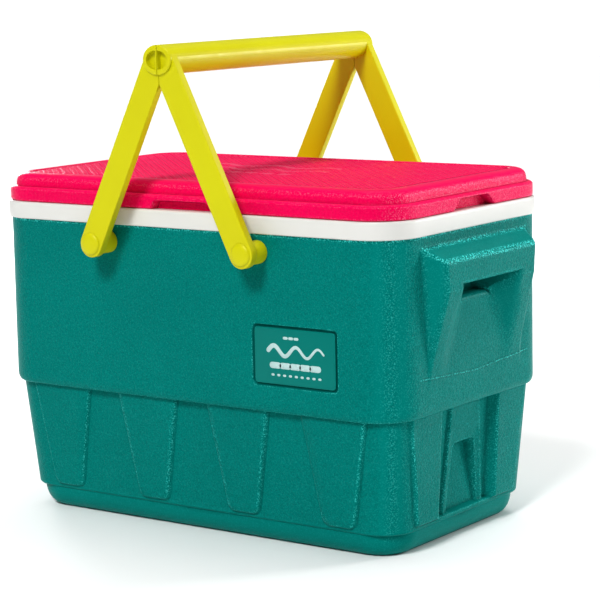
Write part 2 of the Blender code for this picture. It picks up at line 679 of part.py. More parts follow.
def make_ring(name, outer, inner, x, z, low_y, high_y, surface):
    ring = disc_along_y(name, outer, x, z, low_y, high_y, PARTS, surface)
    reach = 5 * MM
    bore = disc_along_y(f"cut_bore_{name}", inner, x, z, min(low_y, high_y) - reach,
                        max(low_y, high_y) + reach, CUTTERS)
    boolean(ring, bore)
    smooth(ring)


def make_pivots(yellow, retainer_surface):
    for word, side_x, side_y in PIVOTS:
        make_pin(word, side_x, side_y, yellow)
        x = side_x * PIVOT_X
        make_ring(f"spacer_boss_{word}", BOSS_R, FIXED_HOLE_R, x, PIVOT_Z,
                  side_y * (BODY_Y + GAP), side_y * (ARM_IN - GAP), yellow)
        inside = BODY_Y - WALL - GAP
        make_ring(f"pin_retainer_{word}", RETAINER_R, FIXED_HOLE_R, x, PIVOT_Z,
                  side_y * inside, side_y * (inside - RETAINER_THICK), retainer_surface)


clear_scene()
PARTS = collection("picnic_cooler_chest")
CUTTERS = collection("cutters", hidden=True)
PIVOTS = [
    (f"{front}_{end}", side_x, side_y)
    for front, side_y in (("front", -1), ("back", 1))
    for end, side_x in (("left", -1), ("right", 1))
]

TEAL = material("teal_plastic", (0.0, 0.195, 0.165), 0.5)
WHITE = material("white_plastic", (0.8, 0.8, 0.78), 0.4)
PINK = material("pink_plastic", (0.85, 0.004, 0.1), 0.45)
YELLOW = material("yellow_plastic", (0.68, 0.66, 0.0), 0.4)
FOAM = material("foam", (0.78, 0.68, 0.42), 0.9)
GREY = material("grey_plastic", (0.3, 0.3, 0.3), 0.5)
BADGE = material("badge_plastic", (0.0, 0.2, 0.17), 0.35)

make_shell(TEAL)
make_badge(BADGE)
make_liner(WHITE)
make_foam(FOAM)
make_lid_cover(PINK)
make_lid_pan(WHITE)
make_lid_foam(FOAM)
make_bail("left_bail", -1, YELLOW)
make_bail("right_bail", 1, YELLOW)
make_pivots(YELLOW, GREY)
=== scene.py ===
"""Looks of the picnic cooler chest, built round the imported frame.

Sizes are in millimetres in the frame's axes and become metres when a mesh is made: X runs along the
long side, the badge faces -Y, +Z is up and the ground is at zero.
"""
import math

import bmesh
import bpy
import numpy as np
from mathutils import Matrix, Vector


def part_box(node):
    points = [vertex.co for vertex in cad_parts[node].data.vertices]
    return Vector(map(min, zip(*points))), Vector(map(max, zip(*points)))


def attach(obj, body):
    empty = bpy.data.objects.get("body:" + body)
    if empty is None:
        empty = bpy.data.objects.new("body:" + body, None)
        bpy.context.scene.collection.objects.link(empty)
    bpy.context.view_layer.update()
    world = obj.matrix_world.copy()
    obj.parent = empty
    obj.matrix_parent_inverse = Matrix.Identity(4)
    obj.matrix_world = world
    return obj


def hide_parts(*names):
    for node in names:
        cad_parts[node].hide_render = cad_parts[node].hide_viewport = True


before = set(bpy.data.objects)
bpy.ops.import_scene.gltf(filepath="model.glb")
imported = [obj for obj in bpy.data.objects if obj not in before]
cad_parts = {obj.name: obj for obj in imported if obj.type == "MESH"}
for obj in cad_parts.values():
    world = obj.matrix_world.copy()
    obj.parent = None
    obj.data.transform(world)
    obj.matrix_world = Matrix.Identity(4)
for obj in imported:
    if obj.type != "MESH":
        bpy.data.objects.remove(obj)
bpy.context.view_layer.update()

MM = 0.001


def node_box(node):
    """Lowest and highest corner of a node, in millimetres."""
    low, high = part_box(node)
    return np.array(low) / MM, np.array(high) / MM


SHELL_HIGH = node_box("outer_shell")[1]
LINER_HIGH = node_box("inner_liner")[1]
COVER_LOW, COVER_HIGH = node_box("lid_cover")
PAN_LOW, PAN_HIGH = node_box("lid_pan")
BADGE_LOW, BADGE_HIGH = node_box("badge_plate")
BAIL_HIGH = node_box("right_bail")[1]
BOSS_LOW, BOSS_HIGH = node_box("spacer_boss_back_right")
PIN_LOW, PIN_HIGH = node_box("pivot_pin_back_right")

# Rim, upper body, lower band and foot
RIM_X, RIM_Y, RIM_R = LINER_HIGH[0], LINER_HIGH[1], 43.0
RIM_LOW, RIM_TOP = 297.6, LINER_HIGH[2]
RIM_SKIRT = 2.9
GAP = 0.3
BODY_X, BODY_Y, BODY_R = 237.8, SHELL_HIGH[1], 41.5
UNDERSIDE_IN, UNDERSIDE_RISE = 4.6, 8.0
BAND_TOP, BAND_LOW = 130.6, 23.0
RECESS_TOP, RECESS_LOW = (229.5, 128.8, 25.0), (224.0, 121.5, 32.0)
FACE_RISE = 3.5                 # how far teeth and legs stand out of the recessed face
TEETH_BOTTOM = 27.0
FOOT_LOW, FOOT_TOP = (205.9, 103.7, 22.0), (221.8, 119.3, 38.0)
LIP_TOP = SHELL_HIGH[2]
SHELL_WALL = 3.5

# Teeth on the front and the back
TOOTH_MIDDLES = (54.6, 164.2)
TOOTH_TOP_HALF, TOOTH_LOW_HALF = 37.0, 18.2

# Ends below the step
LEG_INNER, LEG_FOOT = 51.5, 44.5
LEG_OUTER_TOP, LEG_OUTER_LOW = 104.5, 88.5
GROOVE_DEPTH, BLOCK_DEPTH = 9.0, 6.0
BLOCK_TOP_HALF, BLOCK_LOW_HALF = 26.0, 37.0
BLOCK_CREST, POCKET_TOP, POCKET_LOW = 109.0, 92.0, 28.0
POCKET_TOP_HALF, POCKET_LOW_HALF = 17.5, 27.5
POCKET_TOP_DEPTH, POCKET_LOW_DEPTH = 9.8, 2.6

# End handles
HOOD_OUT = SHELL_HIGH[0] - BODY_X
CREST_Z, CREST_HALF = 286.5, 93.5
BROW_Z = 275.0
LIP_Z, LIP_HALF = 252.4, 51.5
SILL_Z, SILL_HALF = 229.5, 27.0
LEG_Z, LEG_HALF = 168.0, 82.0
HAND_LOW_Z, HAND_LOW_HALF, LEG_FACE_HALF = 172.0, 57.5, 59.0
SIDE_SLOPE = 1.78
SEAM_HALF = 97.0

# Hand pocket behind each hood: half-widths at shares of the way from the lip to the sill
POCKET_SHARES = (0, 0.1, 0.18, 0.48, 0.68, 0.92, 1)
POCKET_HALVES = (50.0, 49.0, 47.0, 35.0, 22.5, 26.0, 27.5)

# Badge
BADGE_X, BADGE_Z = (BADGE_LOW[0] + BADGE_HIGH[0]) / 2, (BADGE_LOW[2] + BADGE_HIGH[2]) / 2
BADGE_HALF_X, BADGE_HALF_Z = (BADGE_HIGH[0] - BADGE_LOW[0]) / 2, (BADGE_HIGH[2] - BADGE_LOW[2]) / 2
BADGE_GROOVE, BADGE_DEPTH = 2.4, 2.2

# Lid
LID_X, LID_Y, LID_R = COVER_HIGH[0], COVER_HIGH[1], 42.0
LID_LOW, LID_TOP = COVER_LOW[2], COVER_HIGH[2]
LID_STEP = 329.0
NOTCH_DEPTH = 9.0
END_NOTCH = (36.5, 24.0, 325.5)
SIDE_NOTCH = (36.0, 31.0, 323.5)
FIELD_IN = 22.4
WEAVE_PITCH, WEAVE_STEPS = 6.6, 5    # width of a strand, and faces across it
WEAVE_RISE = 1.2
PLUG_X, PLUG_Y, PLUG_R = 208.5, 110.0, 27.0
PAN_WALL = 2.4

# Tub
TUB_FLOOR, TUB_FILLET, TUB_WALL = 32.0, 12.0, 2.8
TUB_TOP, TUB_LOW = (212.0, 113.4, 30.0), (196.0, 97.0, 24.0)

# Bails
PIVOT_X, PIVOT_Z = (PIN_LOW[0] + PIN_HIGH[0]) / 2, (PIN_LOW[2] + PIN_HIGH[2]) / 2
ARM_IN, ARM_OUT, ARM_HALF = 157.4, 166.2, 13.0
ARM_LEAN = math.radians(26)
GRIP_X, GRIP_HALF_Z, GRIP_END = 16.5, 14.0, BAIL_HIGH[1]
GRIP_Z = BAIL_HIGH[2] - GRIP_HALF_Z
SOCKET_X, SOCKET_Z, SOCKET_DEPTH = 12.3, 8.75, 5.0
SPLIT = 0.15                    # half of the gap between the two bails
PIN_HEAD, PIN_DOME, PIN_SHAFT = 10.8, 2.8, 4.5
BOSS_R, BOSS_BORE = 11.0, 4.8
ARM_BORE = 5.1

# Columns in each corner and along each end of the shell, and rows round the hand pocket
CORNER_COLUMNS = 12
END_SHARE = np.linspace(-1, 1, 107)
POCKET_ROWS = 34


# Shapes ----------------------------------------------------------------------------------------

def ramp(distance, width):
    """0 below zero, 1 beyond the width, and a smooth curve between."""
    share = np.clip(distance / width, 0, 1)
    return share * share * (3 - 2 * share)


def soft_min(a, b, blend):
    near = np.maximum(blend - np.abs(a - b), 0) / blend
    return np.minimum(a, b) - near * near * blend / 4


def soft_max(a, b, blend):
    return -soft_min(-a, -b, blend)


def between(low, high, share):
    return low + (high - low) * share


def round_inside(first, second, radius):
    """Distance inside the corner of two edges, rounded by the radius."""
    a, b = radius - first, radius - second
    outside = np.hypot(np.maximum(a, 0), np.maximum(b, 0))
    return radius - outside - np.minimum(np.maximum(a, b), 0)


def inside_box(x, y, half_x, half_y, radius):
    """Distance inside a rounded rectangle round the origin, negative outside it."""
    return round_inside(half_x - np.abs(x), half_y - np.abs(y), radius)


def graded(low, high, step, keys=(), offsets=(0.5, 1.4, 2.6)):
    """Places from low to high, a step apart, and closer together on both sides of each key."""
    places = list(np.linspace(low, high, max(int(round((high - low) / step)), 1) + 1))
    reach = offsets[-1] + step / 2
    for key in keys:
        places = [p for p in places if abs(p - key) > reach or p in (low, high)]
    for key in keys:
        places += [key + sign * offset for offset in offsets for sign in (-1, 1)]
    return np.unique([p for p in places if low <= p <= high])


def ring(half_x, half_y, radius, side_x, end_share):
    """Points and outward normals of a rounded rectangle, counter-clockwise from the +X end."""
    reach_x, reach_y = half_x - radius, half_y - radius
    angles = np.radians(np.linspace(0, 90, CORNER_COLUMNS + 2)[1:-1])
    points, normals = [], []
    for turn in range(4):
        quarter = turn * math.pi / 2
        out = np.array([math.cos(quarter), math.sin(quarter)])
        along = np.array([-out[1], out[0]])
        if turn % 2 == 0:
            run = end_share * reach_y
            straight = out * half_x + run[:, None] * along
        else:
            run = side_x * reach_x
            straight = out * half_y + run[:, None] * along
        points.append(straight)
        normals.append(np.tile(out, (len(run), 1)))
        turned = np.column_stack([np.cos(quarter + angles), np.sin(quarter + angles)])
        middle = np.copysign([reach_x, reach_y], out + along)
        points.append(middle + radius * turned)
        normals.append(turned)
    return np.concatenate(points), np.concatenate(normals)


def plain_ring(half_x, half_y, radius, columns=2):
    share = np.linspace(-1, 1, columns)
    return ring(half_x, half_y, radius, share, share)[0]


def ring_rows(rows):
    """3-D rows of points from (z, half_x, half_y, radius) sections."""
    made = []
    for z, half_x, half_y, radius in rows:
        flat = plain_ring(half_x, half_y, radius)
        made.append(np.column_stack([flat, np.full(len(flat), z)]))
    return np.array(made)


def inset(base, amount):
    half_x, half_y, radius = base
    return half_x - amount, half_y - amount, max(radius - amount, 4.0)


def grid_faces(rows, columns, wrap=True):
    across = np.arange(columns if wrap else columns - 1)
    row, column = np.meshgrid(np.arange(rows - 1), across, indexing="ij")
    after = (column + 1) % columns
    low, high = row * columns, (row + 1) * columns
    corners = (low + column, low + after, high + after, high + column)
    return np.stack(corners, axis=-1).reshape(-1, 4)


def closed_rows(rows):
    """Vertices and faces of a closed tube of rows, capped at its first and last row."""
    count, columns = rows.shape[:2]
    faces = grid_faces(count, columns).tolist()
    faces.append(list(range(columns - 1, -1, -1)))
    faces.append(list(range((count - 1) * columns, count * columns)))
    return rows.reshape(-1, 3), faces


def make_mesh(name, points, faces, surface, sharp=40):
    """Object from points in millimetres, shaded smooth but for edges sharper than the angle."""
    mesh = bpy.data.meshes.new(name)
    mesh.from_pydata((np.asarray(points) * MM).tolist(), [], faces)
    mesh.materials.append(surface)
    mesh.shade_smooth()
    mesh.set_sharp_from_angle(angle=math.radians(sharp))
    made = bpy.data.objects.new(name, mesh)
    bpy.context.scene.collection.objects.link(made)
    return made


def settle(piece, body, slot, *nodes):
    """Ride on the body and stand for the nodes, which are hidden. The slot is not used."""
    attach(piece, body)
    if nodes:
        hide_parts(*nodes)
    return piece


def boolean(target, other, operation):
    modifier = target.modifiers.new(operation.lower(), "BOOLEAN")
    modifier.operation = operation
    modifier.object = other
    modifier.solver = "EXACT"
    bpy.context.view_layer.update()
    graph = bpy.context.evaluated_depsgraph_get()
    mesh = bpy.data.meshes.new_from_object(target.evaluated_get(graph))
    target.modifiers.clear()
    old = target.data
    target.data = mesh
    bpy.data.meshes.remove(old)
    bpy.data.objects.remove(other)


# Materials -------------------------------------------------------------------------------------

class Nodes:
    """Small helper that wires a material's nodes."""

    def __init__(self, name):
        self.material = bpy.data.materials.new(name)
        self.material.use_nodes = True
        self.tree = self.material.node_tree
        self.shader = self.tree.nodes["Principled BSDF"]
        self.place = self.add("ShaderNodeTexCoord").outputs["Object"]

    def add(self, kind, **values):
        made = self.tree.nodes.new(kind)
        for key, value in values.items():
            setattr(made, key, value)
        return made

    def link(self, source, target):
        self.tree.links.new(source, target)

    def noise(self, scale, detail=2.0, roughness=0.5, distortion=0.0):
        made = self.add("ShaderNodeTexNoise")
        self.link(self.place, made.inputs["Vector"])
        made.inputs["Scale"].default_value = scale
        made.inputs["Detail"].default_value = detail
        made.inputs["Roughness"].default_value = roughness
        made.inputs["Distortion"].default_value = distortion
        return made.outputs["Fac"]

    def cells(self, scale, feature="SMOOTH_F1"):
        made = self.add("ShaderNodeTexVoronoi", feature=feature)
        self.link(self.place, made.inputs["Vector"])
        made.inputs["Scale"].default_value = scale
        return made.outputs["Distance"]

    def attribute(self, name):
        return self.add("ShaderNodeAttribute", attribute_name=name).outputs["Fac"]

    def maths(self, operation, first, second):
        made = self.add("ShaderNodeMath", operation=operation)
        for socket, value in zip(made.inputs, (first, second)):
            if isinstance(value, (int, float)):
                socket.default_value = value
            else:
                self.link(value, socket)
        return made.outputs[0]

    def spread(self, value, low, high, to_low=0.0, to_high=1.0):
        made = self.add("ShaderNodeMapRange")
        self.link(value, made.inputs["Value"])
        for name, number in (("From Min", low), ("From Max", high), ("To Min", to_low), ("To Max", to_high)):
            made.inputs[name].default_value = number
        return made.outputs["Result"]

    def mix(self, share, first, second):
        made = self.add("ShaderNodeMix", data_type="RGBA")
        self.link(share, made.inputs["Factor"])
        for name, value in (("A", first), ("B", second)):
            socket = [s for s in made.inputs if s.name == name and s.type == "RGBA"][0]
            if isinstance(value, tuple):
                socket.default_value = (*value, 1.0)
            else:
                self.link(value, socket)
        return [s for s in made.outputs if s.type == "RGBA"][0]

    def bump(self, height, distance, strength=1.0, after=None):
        made = self.add("ShaderNodeBump")
        self.link(height, made.inputs["Height"])
        made.inputs["Distance"].default_value = distance
        if isinstance(strength, (int, float)):
            made.inputs["Strength"].default_value = strength
        else:
            self.link(strength, made.inputs["Strength"])
        if after is not None:
            self.link(after, made.inputs["Normal"])
        return made.outputs["Normal"]

    def finish(self, colour, roughness, normal, tint=(1, 1, 1), specular=0.35):
        self.shader.inputs["Specular IOR Level"].default_value = specular
        self.shader.inputs["Specular Tint"].default_value = (*tint, 1)
        self.link(colour, self.shader.inputs["Base Color"])
        self.link(roughness, self.shader.inputs["Roughness"])
        self.link(normal, self.shader.inputs["Normal"])
        return self.material


def grained_plastic(name, colour, dark, pale, tint, depth, rough, specular, shade, valley_shade):
    """Pebbled polyethylene. Attributes say where the mesh has pebbles, where pale specks paint highlights and
    some edge wear, and where painted shade darkens it.
    """
    nodes = Nodes(name)
    where = nodes.attribute("grain")
    wear_and_highlight = nodes.attribute("wear_and_highlight")
    pebbles = nodes.cells(430)
    leather = nodes.noise(560, 3.0, 0.6, 0.8)
    height = nodes.maths("ADD", pebbles, nodes.maths("MULTIPLY", leather, 1.2))
    drift = nodes.spread(nodes.noise(9, 3.0), 0.3, 0.7)
    tone = nodes.mix(drift, colour, dark)
    # Painted shade: the low parts of the grain are darkened.
    valley = nodes.maths("MULTIPLY", nodes.spread(leather, 0.55, 0.38), where)
    tone = nodes.mix(nodes.maths("MULTIPLY", valley, valley_shade), tone, tuple(0.6 * part for part in dark))
    # Pale specks where the attribute is high: painted highlights and glints on ends, crests, corners and
    # edges, with some real edge wear.
    pale_specks = nodes.spread(nodes.noise(760, 2.0, 0.6, 0.4), 0.50, 0.64)
    tone = nodes.mix(nodes.maths("MULTIPLY", pale_specks, wear_and_highlight), tone, pale)
    # Painted shade: concave folds, the badge recess and the weave's valleys are darkened towards a deep tone
    # of the dark colour.
    painted_shade = nodes.maths("MULTIPLY", nodes.attribute("painted_shade"), shade)
    tone = nodes.mix(painted_shade, tone, tuple(0.35 * part for part in dark))
    gloss = nodes.spread(nodes.noise(60, 3.0), 0.3, 0.7, rough - 0.05, rough + 0.06)
    strength = nodes.maths("MAXIMUM", where, 0.12)
    normal = nodes.bump(height, depth, strength)
    return nodes.finish(tone, gloss, normal, tint, specular)


def smooth_plastic(name, colour, dark, tint, rough, depth=0.00003):
    """Smooth moulded plastic with faint flow marks and fine handling scratches."""
    nodes = Nodes(name)
    drift = nodes.spread(nodes.noise(14, 4.0), 0.3, 0.7)
    tone = nodes.mix(drift, colour, dark)
    gloss = nodes.spread(nodes.noise(90, 5.0, 0.7), 0.3, 0.7, rough - 0.04, rough + 0.07)
    normal = nodes.bump(nodes.noise(180, 2.0), depth, 0.3)
    return nodes.finish(tone, gloss, normal, tint, 0.45)


def foam_material():
    nodes = Nodes("foam")
    cells = nodes.cells(900, "F1")
    tone = nodes.mix(cells, (0.74, 0.62, 0.34), (0.86, 0.78, 0.52))
    rough = nodes.spread(cells, 0.0, 1.0, 0.8, 0.95)
    return nodes.finish(tone, rough, nodes.bump(cells, 0.0006, 0.8))


# Outer shell -----------------------------------------------------------------------------------

def tooth_rise(x, z):
    """How far the front or back face stands out of the recess, from 0 to 1."""
    share = (z - TEETH_BOTTOM) / (BAND_TOP - TEETH_BOTTOM)
    half = between(TOOTH_LOW_HALF, TOOTH_TOP_HALF, share)
    side = np.max([half - np.abs(np.abs(x) - middle) for middle in TOOTH_MIDDLES], axis=0)
    return ramp(round_inside(side, z - TEETH_BOTTOM + 0.9, 8.0) + 0.5, 3.0)


def end_band_rise(y, z):
    """Height of an end face below the step, from its recessed corner face."""
    far = np.abs(y)
    share = (z - TEETH_BOTTOM) / (BAND_TOP - TEETH_BOTTOM)
    leg = FACE_RISE * ramp(round_inside(between(LEG_OUTER_LOW, LEG_OUTER_TOP, share) - far,
                                        z - TEETH_BOTTOM + 0.6, 5.0) + 0.6, 3.0)
    open_low = ramp(z - TEETH_BOTTOM + 1.0, 3.0)
    groove = GROOVE_DEPTH * ramp(LEG_INNER + 0.8 - far, LEG_INNER - LEG_FOOT + 1.6)
    block_edge = between(BLOCK_LOW_HALF, BLOCK_TOP_HALF, share) + 0.9 - far
    block = (GROOVE_DEPTH - BLOCK_DEPTH) * ramp(block_edge, 2.4)
    slope = ramp(BLOCK_CREST - z, BLOCK_CREST - POCKET_TOP) * ramp(block_edge - 2, 8.0)
    pocket_share = (z - POCKET_LOW) / (POCKET_TOP - POCKET_LOW)
    pocket_half = between(POCKET_LOW_HALF, POCKET_TOP_HALF, pocket_share)
    pocket_depth = between(POCKET_LOW_DEPTH, POCKET_TOP_DEPTH, np.clip(pocket_share, 0, 1))
    pocket = pocket_depth * ramp(round_inside(pocket_half - far, POCKET_TOP - z, 4.0) + 0.8, 3.0)
    return leg - open_low * (groove - block + 1.6 * slope * (z > POCKET_LOW) + pocket)


def hood_rise(y, z):
    """Height of the moulded end handle above the wall."""
    far = np.abs(y)
    up = np.clip((z - LEG_Z) / (CREST_Z - LEG_Z), 0, 1)
    face = HOOD_OUT * np.minimum((z - LEG_Z) / (247.0 - LEG_Z), 1)
    side = SIDE_SLOPE * (LEG_HALF + (CREST_HALF - LEG_HALF) * up - far)
    top = SIDE_SLOPE * (CREST_Z - z)
    height = soft_min(soft_min(face, side, 5.0), top, 6.0)
    low = np.clip((z - HAND_LOW_Z) / (SILL_Z - HAND_LOW_Z), 0, 1)
    wall_half = between(HAND_LOW_HALF, SILL_HALF, low)
    front_half = np.interp(z, (HAND_LOW_Z, 220.0, 236.0), (LEG_FACE_HALF, LEG_FACE_HALF - 1.0, LIP_HALF))
    inner = np.maximum(face, 1.0) * (far - wall_half) / np.maximum(front_half + 1.0 - wall_half, 2.5)
    height = np.where(z < LIP_Z, soft_min(height, inner, 3.5), height)
    return np.maximum(soft_max(height, 0 * height, 5.0), 0)


def seam_height(y):
    return 161.8 + 5.2 * np.minimum(np.abs(y) / SEAM_HALF, 1)


def parting_line(y, z):
    """Thin ridge across each end, lowest in the middle."""
    return 0.45 * np.exp(-((z - seam_height(y)) / 0.8) ** 2) * ramp(SEAM_HALF + 1 - np.abs(y), 8.0)


def badge_recess(x, z):
    half_x, half_z = BADGE_HALF_X + BADGE_GROOVE, BADGE_HALF_Z + BADGE_GROOVE
    inside = inside_box(x - BADGE_X, z - BADGE_Z, half_x, half_z, 5.0)
    return BADGE_DEPTH * ramp(inside + 0.4, 1.1)


def pocket_path(count):
    """Profile (out from the wall, height) from the hood's lip, round the hand pocket, to its sill."""
    corners = [(HOOD_OUT, LIP_Z), (HOOD_OUT - 0.6, 251.3), (HOOD_OUT - 3.0, 250.6), (14.4, 251.4),
               (12.2, 256.6), (8.0, 258.0), (-13.0, 258.0), (-16.4, 255.0), (-16.8, 240.0),
               (-14.5, 234.8), (-8.0, 235.4), (-3.6, 235.0), (-1.2, 233.4), (-0.2, 231.4), (0.0, SILL_Z)]
    line = np.array(corners)
    for _ in range(2):
        first, second = line[:-1] * 0.75 + line[1:] * 0.25, line[:-1] * 0.25 + line[1:] * 0.75
        middle = np.stack([first, second], axis=1).reshape(-1, 2)
        line = np.vstack([line[:1], middle, line[-1:]])
    length = np.concatenate([[0], np.cumsum(np.hypot(*np.diff(line, axis=0).T))])
    places = np.linspace(0, length[-1], count)
    return np.column_stack([np.interp(places, length, line[:, i]) for i in (0, 1)])


def side_columns(z):
    """Places along the front, from -1 to 1, that follow the teeth's edges and the badge's."""
    share = np.clip((z - TEETH_BOTTOM) / (BAND_TOP - TEETH_BOTTOM), 0, 1)
    half = between(TOOTH_LOW_HALF, TOOTH_TOP_HALF, share)
    near, far = TOOTH_MIDDLES
    reach = between(192.0, 204.5, share)
    band = [near - half, near + 0.5 * half, near + half, far - half, far + 0.33 * half, far + half]
    band = np.array(band) / reach
    wall_reach = BODY_X - BODY_R
    wall = [17.6, BADGE_LOW[0] - BADGE_GROOVE, 91.6, 127.2, BADGE_HIGH[0] + BADGE_GROOVE, 191.5]
    wall = np.array(wall) / wall_reach
    right = band + (wall - band) * np.clip((z - 134) / 12, 0, 1)
    keys = np.concatenate([[-1], -right[::-1], right, [1]]) * wall_reach
    middles = (2, 8, 2, 7, 2, 9, 9, 9, 2, 7, 2, 8, 2)
    places = []
    for low, high, count in zip(keys, keys[1:], middles):
        near = np.array([0.5, 1.4, 2.6]) * min(1.0, (high - low) / 8)
        places.append(low + near)
        places.append(np.linspace(low + near[-1], high - near[-1], count + 2)[1:-1])
        places.append(high - near[::-1])
    return np.concatenate([[-1], np.concatenate(places) / wall_reach, [1]])


def band_section(z):
    share = (z - BAND_LOW) / (BAND_TOP - BAND_LOW)
    return tuple(between(low, high, share) for low, high in zip(RECESS_LOW, RECESS_TOP))


def shell_row(z, section, rise):
    """One ring of the shell: the section at height z, pushed out by rise(points, facing an end, z)."""
    points, normals = ring(*section, side_columns(z), END_SHARE)
    to_end = np.abs(normals[:, 0]) > np.abs(normals[:, 1])
    out = rise(points, to_end, z)
    moved = points + normals * out[:, None]
    return np.column_stack([moved, np.full(len(moved), float(z))])


def no_rise(points, *_):
    return np.zeros(len(points))


def band_rise(points, to_end, z):
    return np.where(to_end, end_band_rise(points[:, 1], z), FACE_RISE * tooth_rise(points[:, 0], z))


def wall_rise(points, to_end, z):
    on_end = hood_rise(points[:, 1], z) + parting_line(points[:, 1], z)
    front = points[:, 1] < 0
    return np.where(to_end, on_end, -badge_recess(points[:, 0], z) * front)


def wall_pod(points, to_end, z):
    """Bulge of the inner wall round the hand pocket."""
    near = ramp(56 - np.abs(points[:, 1]), 6.0) * ramp(z - 224, 3.0) * ramp(264 - z, 3.0)
    return np.where(to_end, -17.0 * near, 0)


def pocket_rows():
    """Rings between the sill and the hood's lip, folded into the hand pocket in the middle of each end."""
    rows = []
    path = pocket_path(POCKET_ROWS)
    for number, (out, height) in enumerate(path[1:-1], 1):
        share = number / (POCKET_ROWS - 1)
        z = between(LIP_Z, SILL_Z, share)
        row = shell_row(z, (BODY_X, BODY_Y, BODY_R), wall_rise)
        half = np.interp(share, POCKET_SHARES, POCKET_HALVES)
        inside = ramp(half + 0.6 - np.abs(row[:, 1]), 2.2) * (np.abs(row[:, 0]) > BODY_X - 1)
        inside *= np.abs(row[:, 1]) < 60
        side = np.sign(row[:, 0])
        row[:, 0] = between(row[:, 0], side * (BODY_X + out), inside)
        row[:, 2] = between(row[:, 2], height, inside)
        rows.append(row)
    return rows[::-1]


def shell_rows():
    """Rings of the shell, from under the foot, up the outside, over the neck and down the inside."""
    wall = (BODY_X, BODY_Y, BODY_R)
    rows = []
    for angle in np.radians(np.linspace(0, 90, 9)):
        section = tuple(between(low, high, math.sin(angle)) for low, high in zip(FOOT_LOW, FOOT_TOP))
        rows.append(shell_row((BAND_LOW - 1) * (1 - math.cos(angle)), section, no_rise))
    rows.append(shell_row(BAND_LOW - 0.5, inset(band_section(BAND_LOW), 1.4), no_rise))
    rows.append(shell_row(BAND_LOW + 0.3, inset(band_section(BAND_LOW), 0.4), band_rise))
    band_edges = (TEETH_BOTTOM, POCKET_TOP, BLOCK_CREST)
    for z in graded(BAND_LOW + 1.2, BAND_TOP - 0.8, 2.9, band_edges, (0.4, 1.2, 2.2)):
        rows.append(shell_row(z, band_section(z), band_rise))
    last = rows[-1]
    under = shell_row(BAND_TOP + 0.1, inset(wall, UNDERSIDE_IN), no_rise)
    for share in (0.0, 0.25, 0.75):
        step = between(last, under, share)
        step[:, 2] = BAND_TOP - 0.1 + 0.15 * share
        rows.append(step)
    for angle in np.radians(np.linspace(0, 90, 8)):
        in_by = UNDERSIDE_IN * (1 - math.sin(angle))
        z = BAND_TOP + 0.1 + UNDERSIDE_RISE * (1 - math.cos(angle))
        rows.append(shell_row(z, inset(wall, in_by), wall_rise))
    badge_edges = (BADGE_Z - BADGE_HALF_Z - BADGE_GROOVE, BADGE_Z + BADGE_HALF_Z + BADGE_GROOVE)
    levels = [z for z in graded(140.5, SILL_Z, 2.9, badge_edges, (0.4, 1.1, 1.9)) if abs(z - 164.4) > 4.4]
    for z in sorted(levels + list(np.linspace(160.2, 168.6, 15))):
        rows.append(shell_row(z, wall, wall_rise))
    rows += pocket_rows()
    for z in graded(LIP_Z, RIM_LOW - GAP, 2.6, (BROW_Z, CREST_Z), (0.5, 1.4, 2.4)):
        rows.append(shell_row(z, wall, wall_rise))
    neck = inset(wall, 1.0)
    inner = inset(wall, SHELL_WALL)
    rows.append(shell_row(RIM_LOW - GAP + 0.01, neck, no_rise))
    rows.append(shell_row(LIP_TOP, neck, no_rise))
    rows.append(shell_row(LIP_TOP, inner, no_rise))
    for z in (266, 260, 244, 228, 222):
        rows.append(shell_row(z, inner, wall_pod))
    rows.append(shell_row(BAND_TOP + 12, inner, no_rise))
    for z, section in ((BAND_TOP - 4, (211, 117, 24)), (BAND_LOW, (211, 113, 24)), (4, (199, 97, 15))):
        rows.append(shell_row(z, section, no_rise))
    return np.array(rows)


def face_normals(rows):
    """Unit normal at each point of a grid of rows that closes on itself."""
    along = np.roll(rows, -1, axis=1) - np.roll(rows, 1, axis=1)
    up = np.gradient(rows, axis=0)
    cross = np.cross(along, up)
    return cross / np.maximum(np.linalg.norm(cross, axis=2, keepdims=True), 1e-9)


def bend(rows, normals):
    """How sharply a grid bulges (positive) or folds inwards (negative) at each point, per millimetre."""
    total = np.zeros(rows.shape[:2])
    column_steps = (np.roll(rows, 1, axis=1) - rows, np.roll(rows, -1, axis=1) - rows)
    up, down = np.zeros_like(rows), np.zeros_like(rows)
    up[:-1], down[1:] = rows[1:] - rows[:-1], rows[:-1] - rows[1:]
    for first, second in (column_steps, (up, down)):
        long_first = np.maximum(np.linalg.norm(first, axis=2), 0.4)
        long_second = np.maximum(np.linalg.norm(second, axis=2), 0.4)
        turn = first / long_first[..., None] + second / long_second[..., None]
        total -= 2 * np.sum(turn * normals, axis=2) / (long_first + long_second)
    return total


def add_grain_and_painted_light(piece, grain, wear_and_highlight, painted_shade=0.0):
    """Store how pebbled each point is, how much painted highlight and edge wear it gets, and how much painted
    shade.
    """
    painted_shade = np.broadcast_to(painted_shade, np.shape(wear_and_highlight))
    for name, values in (("grain", grain), ("wear_and_highlight", wear_and_highlight), ("painted_shade", painted_shade)):
        attribute = piece.data.attributes.new(name, "FLOAT", "POINT")
        attribute.data.foreach_set("value", np.asarray(values, np.float32).ravel())


